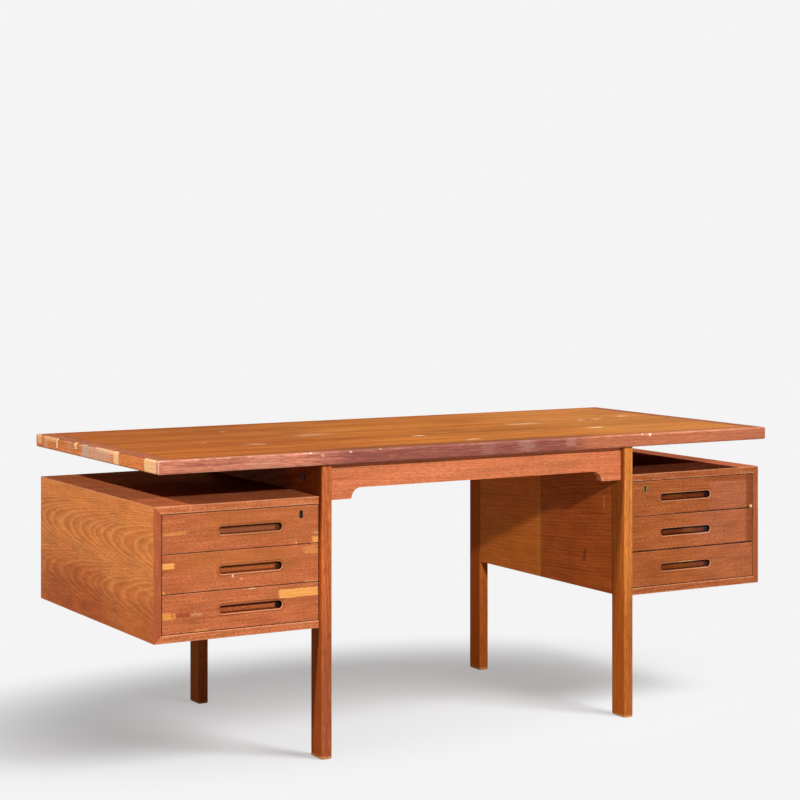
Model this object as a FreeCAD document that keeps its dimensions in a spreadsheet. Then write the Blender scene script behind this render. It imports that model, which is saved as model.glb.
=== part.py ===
import FreeCAD, Part
import math
import os
import Sketcher
from types import SimpleNamespace

# An executive desk in teak: a floating top on four legs, with a pedestal of three
# drawers hung outside the legs on each side of the knee space.
# Millimetres, +Z up, the front towards -Y, and the origin on the floor under the middle.
# The right half and the front are modelled, and the rest is mirrored from them.

SIZES = {
    # Desktop: a panel with a lip along each edge
    "desk_width": 1760.0,
    "desk_depth": 784.0,
    "desk_height": 730.0,
    "top_thickness": 32.0,
    "front_lip_depth": 12.0,
    "end_lip_width": 42.0,
    "top_arris_radius": 5.0,
    # Legs
    "knee_width": 852.0,
    "leg_width": 28.0,
    "leg_depth": 56.0,
    "leg_setback": 16.0,
    "leg_edge_radius": 4.0,
    # Aprons between the legs, tenoned into them
    "apron_setback": 16.0,
    "apron_thickness": 20.0,
    "apron_end_height": 87.0,
    "apron_bracket_width": 61.0,
    "apron_cove_radius": 26.0,
    "apron_corner_radius": 3.0,
    "tenon_length": 18.0,
    "tenon_thickness": 8.0,
    "tenon_shoulder": 10.0,
    # Inner panels from leg to leg, and the cleats that carry the top
    "panel_thickness": 18.0,
    "panel_reveal": 1.0,
    "cleat_thickness": 25.0,
    "cleat_height": 60.0,
    "cleat_end_gap": 40.0,
    # Fasteners
    "bolt_radius": 4.0,
    "bolt_head_radius": 10.0,
    "bolt_head_height": 3.0,
    "bolt_bite": 18.0,
    "bolt_drop": 41.0,
    "bolt_from_cleat_end": 14.0,
    "screw_radius": 2.5,
    "screw_head_radius": 4.5,
    "screw_head_height": 3.0,
    "screw_bore_radius": 5.5,
    "screw_bore_depth": 30.0,
    "screw_bite": 18.0,
    "screw_from_cleat_end": 80.0,
    "dowel_radius": 4.0,
    "dowel_length": 28.0,
    "fastener_play": 0.2,
    # Pedestals: mitred boards, closed at the back
    "pedestal_end_inset": 3.0,
    "pedestal_setback": 28.0,
    "pedestal_gap": 75.0,
    "pedestal_height": 312.0,
    "board_thickness": 18.0,
    "board_arris_radius": 1.2,
    "leg_notch_gap": 1.5,
    "back_thickness": 12.0,
    # Drawers
    "drawer_gap": 2.0,
    "drawer_recess": 1.0,
    "front_thickness": 20.0,
    "front_arris_radius": 1.0,
    "side_thickness": 13.0,
    "side_back_gap": 101.0,
    "side_housing": 6.0,
    "side_rise": 5.0,
    "side_drop": 14.0,
    "drawer_back_thickness": 12.0,
    "drawer_back_drop": 6.0,
    "bottom_thickness": 5.0,
    "bottom_rise": 8.0,
    "bottom_housing": 6.0,
    # Finger pulls routed into the drawer fronts
    "pull_length": 162.0,
    "pull_height": 17.0,
    "pull_depth": 13.0,
    "pull_rim_radius": 3.5,
    "pull_shift": 23.0,
    # Runners in the grooves of the drawer sides
    "runner_height": 10.0,
    "runner_bite": 6.5,
    "runner_play": 0.3,
    # Locks in the top drawers
    "keyhole_from_edge": 46.0,
    "keyhole_drop": 20.0,
    "lock_width": 50.0,
    "lock_height": 36.0,
    "lock_depth": 12.0,
    "lock_bolt_width": 22.0,
    "lock_bolt_thickness": 5.0,
    "lock_bolt_height": 24.0,
    "lock_bolt_drop": 1.0,
    "lock_play": 0.3,
    "strike_depth": 9.0,
    "strike_play": 1.0,
    "liner_width": 11.0,
    "liner_height": 20.0,
    "liner_proud": 0.4,
    "keyhole_radius": 3.2,
    "keyhole_slot_width": 4.2,
    "keyhole_wall": 2.0,
    # How far a cutter passes the face that it enters by
    "overrun": 5.0,
}

DRAWER_ROWS = ("bottom", "middle", "top")
# Heights of the dowels between a leg and its panel, and places along the case boards
LEG_DOWEL_SHARES = (0.12, 0.5, 0.88)
CASE_DOWEL_SHARES = (0.15, 0.5, 0.85)

X_AXIS = FreeCAD.Vector(1, 0, 0)
Y_AXIS = FreeCAD.Vector(0, 1, 0)
Z_AXIS = FreeCAD.Vector(0, 0, 1)
# Turns that lay a cylinder, which stands along Z, along another axis
ALONG_X = FreeCAD.Rotation(Z_AXIS, X_AXIS)
ALONG_Y = FreeCAD.Rotation(Z_AXIS, Y_AXIS)
ALONG_Z = FreeCAD.Rotation()
TOUCH = 1e-6


class Length:
    """A length as an expression over the sheet's sizes, with what it comes to now."""

    def __init__(self, text, value):
        self.text = text
        self.value = value

    def __add__(self, other):
        return Length("(%s + %s)" % (self.text, other.text), self.value + other.value)

    def __sub__(self, other):
        return Length("(%s - %s)" % (self.text, other.text), self.value - other.value)

    def __neg__(self):
        return Length("(0 - %s)" % self.text, -self.value)

    def __mul__(self, share):
        return Length("(%s * %r)" % (self.text, share), self.value * share)

    def __truediv__(self, count):
        return Length("(%s / %r)" % (self.text, count), self.value / count)


ZERO = Length("0", 0.0)

doc = FreeCAD.newDocument("executive_desk")
sheet = doc.addObject("Spreadsheet::Sheet", "Sizes")
for row, (alias, number) in enumerate(SIZES.items(), start=1):
    sheet.set("A%d" % row, alias)
    sheet.set("B%d" % row, str(number))
    sheet.setAlias("B%d" % row, alias)
doc.recompute()
S = SimpleNamespace(**{alias: Length("Sizes." + alias, number) for alias, number in SIZES.items()})
pieces = []

# Places that several pieces share, on the right half and at the front
LEG_INNER = S.knee_width / 2
LEG_OUTER = LEG_INNER + S.leg_width
PANEL_INNER = LEG_INNER + S.panel_reveal
PANEL_OUTER = PANEL_INNER + S.panel_thickness
CASE_OUTER = S.desk_width / 2 - S.pedestal_end_inset
CASE_WALL = CASE_OUTER - S.board_thickness
FRONT_INNER = LEG_OUTER + S.drawer_gap
FRONT_OUTER = CASE_WALL - S.drawer_gap

DESK_FRONT = -(S.desk_depth / 2)
LEG_FRONT = DESK_FRONT + S.leg_setback
LEG_BACK = LEG_FRONT + S.leg_depth
CASE_FRONT = DESK_FRONT + S.pedestal_setback
FACE_FRONT = CASE_FRONT + S.drawer_recess
FACE_BACK = FACE_FRONT + S.front_thickness
SIDE_FRONT = FACE_BACK - S.side_housing
SIDE_BACK = -CASE_FRONT - S.back_thickness - S.side_back_gap

UNDERSIDE = S.desk_height - S.top_thickness
CASE_TOP = UNDERSIDE - S.pedestal_gap
CASE_BOTTOM = CASE_TOP - S.pedestal_height
OPENING_TOP = CASE_TOP - S.board_thickness
OPENING_BOTTOM = CASE_BOTTOM + S.board_thickness
FRONT_WIDTH = FRONT_OUTER - FRONT_INNER
FRONT_HEIGHT = (
    OPENING_TOP - OPENING_BOTTOM - S.drawer_gap * (len(DRAWER_ROWS) + 1)
) / len(DRAWER_ROWS)
SIDE_HEIGHT = FRONT_HEIGHT - S.side_rise - S.side_drop

KEYHOLE_X = FRONT_INNER + S.keyhole_from_edge
LOCK_FRONT = FACE_BACK - S.lock_depth
LOCK_MIDDLE = FACE_BACK - S.lock_depth / 2
BOLT_Z = UNDERSIDE - S.bolt_drop
CLEAT_MIDDLE = PANEL_INNER - S.cleat_thickness / 2
CLEAT_END = -LEG_BACK - S.cleat_end_gap


# Tools for making and placing solids

def place(thing, x, y, z):
    """Tie an object's place to lengths."""
    for axis, length in (("x", x), ("y", y), ("z", z)):
        thing.setExpression("Placement.Base." + axis, length.text)


def named(label, thing):
    """Make an object one of the desk's pieces, under its own label."""
    thing.Label = label
    pieces.append(thing)
    return thing


def block(label, low, high):
    """A box between two corners."""
    box = doc.addObject("Part::Box", label)
    place(box, *low)
    for side, start, end in zip(("Length", "Width", "Height"), low, high):
        box.setExpression(side, (end - start).text)
    return box


def rod(label, start, turn, radius, length):
    """A cylinder that starts at a point and runs along an axis."""
    cylinder = doc.addObject("Part::Cylinder", label)
    cylinder.Placement = FreeCAD.Placement(FreeCAD.Vector(), turn)
    place(cylinder, *start)
    cylinder.setExpression("Radius", radius.text)
    cylinder.setExpression("Height", length.text)
    return cylinder


def group(label, things):
    """Separate solids kept together."""
    compound = doc.addObject("Part::Compound", label)
    compound.Links = things
    return compound


def joined(label, things):
    """Solids that meet, made one."""
    fusion = doc.addObject("Part::MultiFuse", label)
    fusion.Shapes = things
    return fusion


def cut(label, base, tools):
    """A solid with cutters taken out of it."""
    result = doc.addObject("Part::Cut", label)
    result.Base = base
    result.Tool = group(label + "_cutters", tools)
    return result


def mirror_image(label, source, normal):
    """A solid's copy on the other side of the middle."""
    copy = doc.addObject("Part::Mirroring", label)
    copy.Source = source
    copy.Normal = normal
    return copy


def mirrored(label, source, normal):
    """The same piece on the other side of the middle."""
    return named(label, mirror_image(label, source, normal))


def new_body(label, x, y, z):
    """An empty body whose own origin lies at the given place."""
    body = doc.addObject("PartDesign::Body", label)
    place(body, x, y, z)
    return body


def tie_point(sketch, geometry, position, u, v):
    """Tie a sketch point to two lengths from the sketch's origin."""
    for kind, axis, length in (("DistanceX", -2, u), ("DistanceY", -1, v)):
        if length is None:
            continue
        if length is ZERO:
            sketch.addConstraint(Sketcher.Constraint("PointOnObject", geometry, position, axis))
            continue
        index = sketch.addConstraint(Sketcher.Constraint(kind, geometry, position, length.value))
        sketch.setExpression("Constraints[%d]" % index, length.text)


def outline(body, label, role, points):
    """A closed outline on one of the body's planes.

    A point is (u, v), and a line leaves it; with a centre and a turn after that, an arc
    about the centre leaves it, counterclockwise for a turn of 1 and clockwise for -1.
    """
    plane = next(item for item in body.Origin.OriginFeatures if item.Role == role)
    sketch = body.newObject("Sketcher::SketchObject", label)
    sketch.AttachmentSupport = [(plane, "")]
    sketch.MapMode = "FlatFace"
    starts = []
    ends = []
    for point, following in zip(points, points[1:] + points[:1]):
        here = FreeCAD.Vector(point[0].value, point[1].value, 0)
        there = FreeCAD.Vector(following[0].value, following[1].value, 0)
        if len(point) == 2:
            starts.append((sketch.addGeometry(Part.LineSegment(here, there), False), 1))
            ends.append((starts[-1][0], 2))
            continue
        centre_u, centre_v, turn = point[2:]
        centre = FreeCAD.Vector(centre_u.value, centre_v.value, 0)
        first, last = (here, there) if turn > 0 else (there, here)
        sweep = math.atan2((last - centre).y, (last - centre).x)
        sweep = (sweep - math.atan2((first - centre).y, (first - centre).x)) % math.tau
        halfway = FreeCAD.Rotation(Z_AXIS, math.degrees(sweep / 2)).multVec(first - centre)
        arc = sketch.addGeometry(Part.Arc(first, centre + halfway, last), False)
        starts.append((arc, 1 if turn > 0 else 2))
        ends.append((arc, 2 if turn > 0 else 1))
        level_chord = abs(there.y - here.y) < TOUCH
        tie_point(sketch, arc, 3, None if level_chord else centre_u, centre_v if level_chord else None)
    for end, start in zip(ends, starts[1:] + starts[:1]):
        sketch.addConstraint(Sketcher.Constraint("Coincident", *end, *start))
    for start, point in zip(starts, points):
        tie_point(sketch, *start, *point[:2])
    return sketch


def rectangle(u, v):
    """The corners of a rectangle from the origin."""
    return [(ZERO, ZERO), (u, ZERO), (u, v), (ZERO, v)]


def stadium(u, v, length, height):
    """A level slot with round ends, about a centre."""
    radius = height / 2
    left = u - length / 2 + radius
    right = u + length / 2 - radius
    return [
        (left, v - radius),
        (right, v - radius, right, v, 1),
        (right, v + radius),
        (left, v + radius, left, v, 1),
    ]


def upright_stadium(u, v, width, height):
    """An upright slot with round ends, about a centre."""
    radius = width / 2
    low = v - height / 2 + radius
    high = v + height / 2 - radius
    return [
        (u + radius, low),
        (u + radius, high, u, high, 1),
        (u - radius, high),
        (u - radius, low, u, low, 1),
    ]


def pad(body, sketch, length, backwards=False):
    """Raise an outline into a solid; one on the XZ plane goes back along +Y if backwards."""
    feature = body.newObject("PartDesign::Pad", sketch.Label + "_pad")
    feature.Profile = sketch
    feature.Reversed = backwards
    feature.setExpression("Length", length.text)
    doc.recompute()
    return feature


def pocket(body, sketch, depth):
    """Sink an outline on the XZ plane into the body, and see that it cuts."""
    before = body.Shape.Volume
    feature = body.newObject("PartDesign::Pocket", sketch.Label + "_pocket")
    feature.Profile = sketch
    feature.setExpression("Length", depth.text)
    doc.recompute()
    if not feature.Shape.Volume < before:
        raise RuntimeError(sketch.Label + " cuts nothing")
    return feature


def rounded(body, feature, radius, wanted):
    """Round the edges of a feature whose boxes, in the body's own frame, are wanted."""
    edges = [
        "Edge%d" % number
        for number, edge in enumerate(feature.Shape.Edges, start=1)
        if wanted(edge.BoundBox)
    ]
    fillet = body.newObject("PartDesign::Fillet", feature.Label + "_rounding")
    fillet.Base = (feature, edges)
    fillet.setExpression("Radius", radius.text)
    doc.recompute()
    return fillet


def at(number, length):
    """Whether a coordinate lies at a length."""
    return abs(number - length.value) < TOUCH


# Desktop

def make_desktop():
    screw_holes = [
        rod("top_screw_hole", (x, y, UNDERSIDE - S.overrun), ALONG_Z,
            S.screw_radius + S.fastener_play, S.overrun + S.screw_bite + S.fastener_play)
        for x, y in screw_places()
    ]
    inner_x = S.desk_width / 2 - S.end_lip_width
    inner_y = S.desk_depth / 2 - S.front_lip_depth
    core = block("desktop_core", (-inner_x, -inner_y, UNDERSIDE), (inner_x, inner_y, S.desk_height))
    named("desktop_panel", cut("desktop_panel", core, screw_holes))

    lip = new_body("desktop_front_lip", -(S.desk_width / 2), DESK_FRONT, UNDERSIDE)
    shape = pad(lip, outline(lip, "front_lip_plan", "XY_Plane",
                             rectangle(S.desk_width, S.front_lip_depth)), S.top_thickness)
    rounded(lip, shape, S.top_arris_radius, lambda box: not at(box.YMin, S.front_lip_depth))
    named("desktop_front_lip", lip)
    mirrored("desktop_back_lip", lip, Y_AXIS)

    lip = new_body("desktop_right_lip", inner_x, -inner_y, UNDERSIDE)
    shape = pad(lip, outline(lip, "end_lip_plan", "XY_Plane",
                             rectangle(S.end_lip_width, inner_y * 2)), S.top_thickness)
    rounded(lip, shape, S.top_arris_radius,
            lambda box: at(box.XMin, S.end_lip_width) and box.YLength > S.top_thickness.value)
    named("desktop_right_lip", lip)
    mirrored("desktop_left_lip", lip, X_AXIS)


# Legs and aprons

def apron_front():
    return LEG_FRONT + S.apron_setback


def tenon(label, start, end):
    """A tenon's space between two places along X, as high as the apron inside its shoulders."""
    middle = apron_front() + S.apron_thickness / 2
    low = UNDERSIDE - S.apron_end_height + S.tenon_shoulder
    high = UNDERSIDE - S.tenon_shoulder
    half = S.tenon_thickness / 2
    return block(label, (start, middle - half, low), (end, middle + half, high))


def leg_dowel_heights():
    return [CASE_BOTTOM + (UNDERSIDE - CASE_BOTTOM) * share for share in LEG_DOWEL_SHARES]


def case_dowel_places():
    """Where the dowels between the inner panel and the case boards lie, as (y, z)."""
    span = -(LEG_BACK * 2)
    rows = (OPENING_TOP + S.board_thickness / 2, CASE_BOTTOM + S.board_thickness / 2)
    return [(LEG_BACK + span * share, z) for z in rows for share in CASE_DOWEL_SHARES]


def panel_middle():
    return PANEL_INNER + S.panel_thickness / 2


def leg_dowel_hole(label, y, z):
    """The hole for a dowel that runs from a leg into the panel behind it."""
    length = S.dowel_length + S.fastener_play * 2
    start = y - length / 2
    return rod(label, (panel_middle(), start, z), ALONG_Y, S.dowel_radius + S.fastener_play, length)


def case_dowel_hole(label, y, z):
    """The hole for a dowel that runs from the inner panel into a case board."""
    length = S.dowel_length + S.fastener_play * 2
    start = PANEL_OUTER - length / 2
    return rod(label, (start, y, z), ALONG_X, S.dowel_radius + S.fastener_play, length)


def make_legs():
    blank = new_body("leg_blank", LEG_INNER, LEG_FRONT, ZERO)
    shape = pad(blank, outline(blank, "leg_plan", "XY_Plane",
                               rectangle(S.leg_width, S.leg_depth)), UNDERSIDE)
    rounded(blank, shape, S.leg_edge_radius, lambda box: not at(box.ZMin, UNDERSIDE))
    cutters = [tenon("leg_mortise", LEG_INNER - S.overrun, LEG_INNER + S.tenon_length)]
    cutters += [leg_dowel_hole("leg_dowel_hole", LEG_BACK, z) for z in leg_dowel_heights()]
    front_right = named("front_right_leg", cut("front_right_leg", blank, cutters))
    mirrored("front_left_leg", front_right, X_AXIS)
    back_right = mirrored("back_right_leg", front_right, Y_AXIS)
    mirrored("back_left_leg", back_right, X_AXIS)


def make_aprons():
    """A board with a bracket at each end, coved up to the raised middle."""
    board = new_body("apron_board", -LEG_INNER, apron_front(), UNDERSIDE - S.apron_end_height)
    near = S.apron_bracket_width
    far = S.knee_width - S.apron_bracket_width
    rise = S.apron_cove_radius
    face = outline(board, "apron_face", "XZ_Plane", [
        (ZERO, ZERO),
        (near, ZERO, near + rise, ZERO, -1),
        (near + rise, rise),
        (far - rise, rise, far - rise, ZERO, -1),
        (far, ZERO),
        (S.knee_width, ZERO),
        (S.knee_width, S.apron_end_height),
        (ZERO, S.apron_end_height),
    ])
    shape = pad(board, face, S.apron_thickness, backwards=True)
    rounded(board, shape, S.apron_corner_radius,
            lambda box: at(box.ZMax, ZERO) and at(box.XLength, ZERO)
            and (at(box.XMin, near) or at(box.XMin, far)))
    apron = joined("front_apron", [
        board,
        tenon("right_tenon", LEG_INNER, LEG_INNER + S.tenon_length),
        tenon("left_tenon", -LEG_INNER - S.tenon_length, -LEG_INNER),
    ])
    named("front_apron", apron)
    mirrored("back_apron", apron, Y_AXIS)


# Inner panels, the cleats under the top, and the fasteners

def bolt_places():
    back = CLEAT_END - S.bolt_from_cleat_end
    return [-back, back]


def screw_rows():
    back = CLEAT_END - S.screw_from_cleat_end
    return [-back, ZERO, back]


def screw_places():
    return [(x, y) for x in (CLEAT_MIDDLE, -CLEAT_MIDDLE) for y in screw_rows()]


def bolt_hole(label, y):
    start = PANEL_INNER - S.bolt_bite - S.fastener_play
    length = PANEL_OUTER - start + S.overrun
    return rod(label, (start, y, BOLT_Z), ALONG_X, S.bolt_radius + S.fastener_play, length)


def make_inner_panels():
    board = block("inner_panel_board",
                  (PANEL_INNER, LEG_BACK, CASE_BOTTOM), (PANEL_OUTER, -LEG_BACK, UNDERSIDE))
    cutters = [
        leg_dowel_hole("panel_dowel_hole", y, z)
        for y in (LEG_BACK, -LEG_BACK) for z in leg_dowel_heights()
    ]
    cutters += [case_dowel_hole("panel_dowel_hole", y, z) for y, z in case_dowel_places()]
    cutters += [bolt_hole("panel_bolt_hole", y) for y in bolt_places()]
    panel = named("right_inner_panel", cut("right_inner_panel", board, cutters))
    mirrored("left_inner_panel", panel, X_AXIS)


def make_cleats():
    low = UNDERSIDE - S.cleat_height
    batten = block("cleat_batten", (PANEL_INNER - S.cleat_thickness, -CLEAT_END, low),
                   (PANEL_INNER, CLEAT_END, UNDERSIDE))
    cutters = [bolt_hole("cleat_bolt_hole", y) for y in bolt_places()]
    for y in screw_rows():
        bore = rod("screw_counterbore", (CLEAT_MIDDLE, y, low - S.overrun), ALONG_Z,
                   S.screw_bore_radius, S.overrun + S.screw_bore_depth)
        hole = rod("cleat_screw_hole", (CLEAT_MIDDLE, y, low), ALONG_Z,
                   S.screw_radius + S.fastener_play, S.cleat_height + S.overrun)
        cutters.append(joined("cleat_screw_bore", [bore, hole]))
    cleat = named("right_top_cleat", cut("right_top_cleat", batten, cutters))
    mirrored("left_top_cleat", cleat, X_AXIS)


def make_fasteners():
    bolts = []
    for y in bolt_places():
        head = rod("bolt_head", (PANEL_OUTER, y, BOLT_Z), ALONG_X,
                   S.bolt_head_radius, S.bolt_head_height)
        shank = rod("bolt_shank", (PANEL_INNER - S.bolt_bite, y, BOLT_Z), ALONG_X,
                    S.bolt_radius, S.bolt_bite + S.panel_thickness)
        bolts.append(joined("cleat_bolt", [head, shank]))
    right_bolts = group("right_cleat_bolts", bolts)
    left_bolts = mirror_image("left_cleat_bolts", right_bolts, X_AXIS)
    named("cleat_bolts", group("cleat_bolts", [right_bolts, left_bolts]))

    seat = UNDERSIDE - S.cleat_height + S.screw_bore_depth
    screws = []
    for x, y in screw_places():
        head = rod("screw_head", (x, y, seat - S.screw_head_height), ALONG_Z,
                   S.screw_head_radius, S.screw_head_height)
        shank = rod("screw_shank", (x, y, seat), ALONG_Z,
                    S.screw_radius, UNDERSIDE - seat + S.screw_bite)
        screws.append(joined("top_screw", [head, shank]))
    named("top_screws", group("top_screws", screws))

    dowels = [
        rod("leg_dowel", (panel_middle(), y - S.dowel_length / 2, z), ALONG_Y,
            S.dowel_radius, S.dowel_length)
        for y in (LEG_BACK, -LEG_BACK) for z in leg_dowel_heights()
    ]
    dowels += [
        rod("case_dowel", (PANEL_OUTER - S.dowel_length / 2, y, z), ALONG_X,
            S.dowel_radius, S.dowel_length)
        for y, z in case_dowel_places()
    ]
    right_dowels = group("right_dowels", dowels)
    left_dowels = mirror_image("left_dowels", right_dowels, X_AXIS)
    named("frame_dowels", group("frame_dowels", [right_dowels, left_dowels]))


# Pedestals

def make_case_board(label, section, level):
    """A board from front to back, drawn by its section in the body's own corner.

    A level board has its two long front arrises along X, an upright one along Z.
    """
    board = new_body(label, PANEL_OUTER, CASE_FRONT, CASE_BOTTOM)
    face = outline(board, label + "_section", "XZ_Plane", section)
    shape = pad(board, face, -(CASE_FRONT * 2), backwards=True)
    rounded(board, shape, S.board_arris_radius,
            lambda box: at(box.YMax, ZERO) and at(box.ZLength if level else box.XLength, ZERO))
    return board


def leg_notches():
    """The corners that a case board leaves free for the two legs."""
    edge = LEG_OUTER + S.leg_notch_gap
    inner = PANEL_OUTER - S.overrun
    low = CASE_BOTTOM - S.overrun
    high = CASE_TOP + S.overrun
    front = block("front_leg_notch", (inner, CASE_FRONT - S.overrun, low), (edge, LEG_BACK, high))
    back = block("back_leg_notch", (inner, -LEG_BACK, low), (edge, -CASE_FRONT + S.overrun, high))
    return [front, back]


def strike():
    """The mortise over the lock that its bolt rises into."""
    half_width = S.lock_bolt_width / 2 + S.strike_play
    half_depth = S.lock_bolt_thickness / 2 + S.strike_play
    return block("strike_mortise",
                 (KEYHOLE_X - half_width, LOCK_MIDDLE - half_depth, OPENING_TOP - S.overrun),
                 (KEYHOLE_X + half_width, LOCK_MIDDLE + half_depth, OPENING_TOP + S.strike_depth))


def make_pedestals():
    width = CASE_OUTER - PANEL_OUTER
    inside = CASE_WALL - PANEL_OUTER
    height = S.pedestal_height
    thick = S.board_thickness

    side = make_case_board("right_pedestal_outer_side", [
        (width, ZERO), (width, height), (inside, height - thick), (inside, thick)], level=False)
    named("right_pedestal_outer_side", side)
    mirrored("left_pedestal_outer_side", side, X_AXIS)

    dowel_places = case_dowel_places()
    top_dowels = dowel_places[:len(CASE_DOWEL_SHARES)]
    bottom_dowels = dowel_places[len(CASE_DOWEL_SHARES):]

    top = make_case_board("pedestal_top_board", [
        (ZERO, height - thick), (inside, height - thick), (width, height), (ZERO, height)], level=True)
    cutters = leg_notches() + [strike()]
    cutters += [case_dowel_hole("top_dowel_hole", y, z) for y, z in top_dowels]
    top = named("right_pedestal_top", cut("right_pedestal_top", top, cutters))
    mirrored("left_pedestal_top", top, X_AXIS)

    bottom = make_case_board("pedestal_bottom_board", [
        (ZERO, ZERO), (width, ZERO), (inside, thick), (ZERO, thick)], level=True)
    cutters = leg_notches()
    cutters += [case_dowel_hole("bottom_dowel_hole", y, z) for y, z in bottom_dowels]
    bottom = named("right_pedestal_bottom", cut("right_pedestal_bottom", bottom, cutters))
    mirrored("left_pedestal_bottom", bottom, X_AXIS)

    back = block("right_pedestal_back",
                 (LEG_OUTER, -CASE_FRONT - S.back_thickness, OPENING_BOTTOM),
                 (CASE_WALL, -CASE_FRONT, OPENING_TOP))
    named("right_pedestal_back", back)
    mirrored("left_pedestal_back", back, X_AXIS)


# Drawers and their runners

def front_bottom(row):
    """Height of the lower edge of the drawer front in a row, counted from below."""
    return OPENING_BOTTOM + S.drawer_gap + (FRONT_HEIGHT + S.drawer_gap) * row


def runner_middle(row):
    return front_bottom(row) + S.side_rise + SIDE_HEIGHT / 2


def make_runners():
    strips = []
    half = S.runner_height / 2
    inner_reach = FRONT_INNER + S.runner_bite
    outer_reach = FRONT_OUTER - S.runner_bite
    for row, _ in enumerate(DRAWER_ROWS):
        middle = runner_middle(row)
        strips.append(block("inner_runner", (PANEL_OUTER, LEG_BACK, middle - half),
                            (inner_reach, -LEG_BACK, middle + half)))
        strips.append(block("outer_runner", (outer_reach, FACE_BACK + S.runner_play, middle - half),
                            (CASE_WALL, -LEG_BACK, middle + half)))
    runners = named("right_drawer_runners", group("right_drawer_runners", strips))
    mirrored("left_drawer_runners", runners, X_AXIS)


def make_drawer_front(label, row, locked):
    """A front with a finger pull, housings for the box, and a lock's mortise if it has one."""
    low = front_bottom(row)
    body = new_body(label + "_board", FRONT_INNER, FACE_FRONT, low)
    face = outline(body, label + "_face", "XZ_Plane", rectangle(FRONT_WIDTH, FRONT_HEIGHT))
    shape = pad(body, face, S.front_thickness, backwards=True)
    shape = rounded(body, shape, S.front_arris_radius, lambda box: at(box.YMax, ZERO))
    pull_middle = FRONT_WIDTH / 2 - S.pull_shift
    slot = outline(body, label + "_pull", "XZ_Plane",
                   stadium(pull_middle, FRONT_HEIGHT / 2, S.pull_length, S.pull_height))
    shape = pocket(body, slot, S.pull_depth)
    near = S.front_thickness.value
    rounded(body, shape, S.pull_rim_radius,
            lambda box: at(box.YMax, ZERO) and box.XMin > near and box.ZMin > near)
    if locked:
        hole = outline(body, label + "_keyhole", "XZ_Plane", upright_stadium(
            S.keyhole_from_edge, FRONT_HEIGHT - S.keyhole_drop, S.liner_width, S.liner_height))
        pocket(body, hole, S.front_thickness)

    box_low = low + S.side_rise
    past = FACE_BACK + S.overrun
    inside = FRONT_INNER + S.side_thickness
    outside = FRONT_OUTER - S.side_thickness
    cutters = [
        block("side_housing", (FRONT_INNER, SIDE_FRONT, box_low),
              (inside, past, box_low + SIDE_HEIGHT)),
        block("side_housing", (outside, SIDE_FRONT, box_low),
              (FRONT_OUTER, past, box_low + SIDE_HEIGHT)),
        block("bottom_housing", (inside, FACE_BACK - S.bottom_housing, box_low + S.bottom_rise),
              (outside, past, box_low + S.bottom_rise + S.bottom_thickness)),
    ]
    if locked:
        half = S.lock_width / 2
        high = low + FRONT_HEIGHT
        cutters.append(block("lock_mortise", (KEYHOLE_X - half, LOCK_FRONT, high - S.lock_height),
                             (KEYHOLE_X + half, past, high + S.overrun)))
    return cut(label, body, cutters)


def make_drawer_side(label, row, outer, inward):
    """A side with its runner's groove outside and the bottom's groove inside."""
    low = front_bottom(row) + S.side_rise
    thick = S.side_thickness
    start, end = (outer - thick, outer) if inward < 0 else (outer, outer + thick)
    board = block(label, (start, SIDE_FRONT, low), (end, SIDE_BACK, low + SIDE_HEIGHT))
    half = S.runner_height / 2 + S.runner_play
    depth = S.runner_bite + S.runner_play
    middle = runner_middle(row)
    groove_start, groove_end = (
        (outer - depth, outer + S.overrun) if inward < 0 else (outer - S.overrun, outer + depth)
    )
    groove = block("runner_groove", (groove_start, FACE_BACK, middle - half),
                   (groove_end, SIDE_BACK + S.overrun, middle + half))
    face = outer + thick * inward
    slot_start, slot_end = (
        (face - S.overrun, face + S.bottom_housing) if inward < 0
        else (face - S.bottom_housing, face + S.overrun)
    )
    slot_low = low + S.bottom_rise
    slot = block("bottom_groove", (slot_start, SIDE_FRONT - S.overrun, slot_low),
                 (slot_end, SIDE_BACK + S.overrun, slot_low + S.bottom_thickness))
    return cut(label + "_grooved", board, [groove, slot])


def make_drawer(row, name):
    """One drawer on the right, and its copy on the left."""
    label = "%s_drawer" % name
    locked = row == len(DRAWER_ROWS) - 1
    low = front_bottom(row) + S.side_rise
    floor = low + S.bottom_rise
    inside = FRONT_INNER + S.side_thickness
    outside = FRONT_OUTER - S.side_thickness

    front = named("right_%s_front" % label, make_drawer_front("right_%s_front" % label, row, locked))
    mirrored("left_%s_front" % label, front, X_AXIS)

    sides = group("right_%s_sides" % label, [
        make_drawer_side("inner_side", row, FRONT_INNER, 1),
        make_drawer_side("outer_side", row, FRONT_OUTER, -1),
    ])
    named("right_%s_sides" % label, sides)
    mirrored("left_%s_sides" % label, sides, X_AXIS)

    back = block("right_%s_back" % label,
                 (inside, SIDE_BACK - S.drawer_back_thickness, floor + S.bottom_thickness),
                 (outside, SIDE_BACK, low + SIDE_HEIGHT - S.drawer_back_drop))
    named("right_%s_back" % label, back)
    mirrored("left_%s_back" % label, back, X_AXIS)

    bottom = joined("right_%s_bottom" % label, [
        block("bottom_sheet", (inside - S.bottom_housing, FACE_BACK, floor),
              (outside + S.bottom_housing, SIDE_BACK, floor + S.bottom_thickness)),
        block("bottom_tongue", (inside, FACE_BACK - S.bottom_housing, floor),
              (outside, FACE_BACK, floor + S.bottom_thickness)),
    ])
    named("right_%s_bottom" % label, bottom)
    mirrored("left_%s_bottom" % label, bottom, X_AXIS)


# Locks of the top drawers

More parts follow.
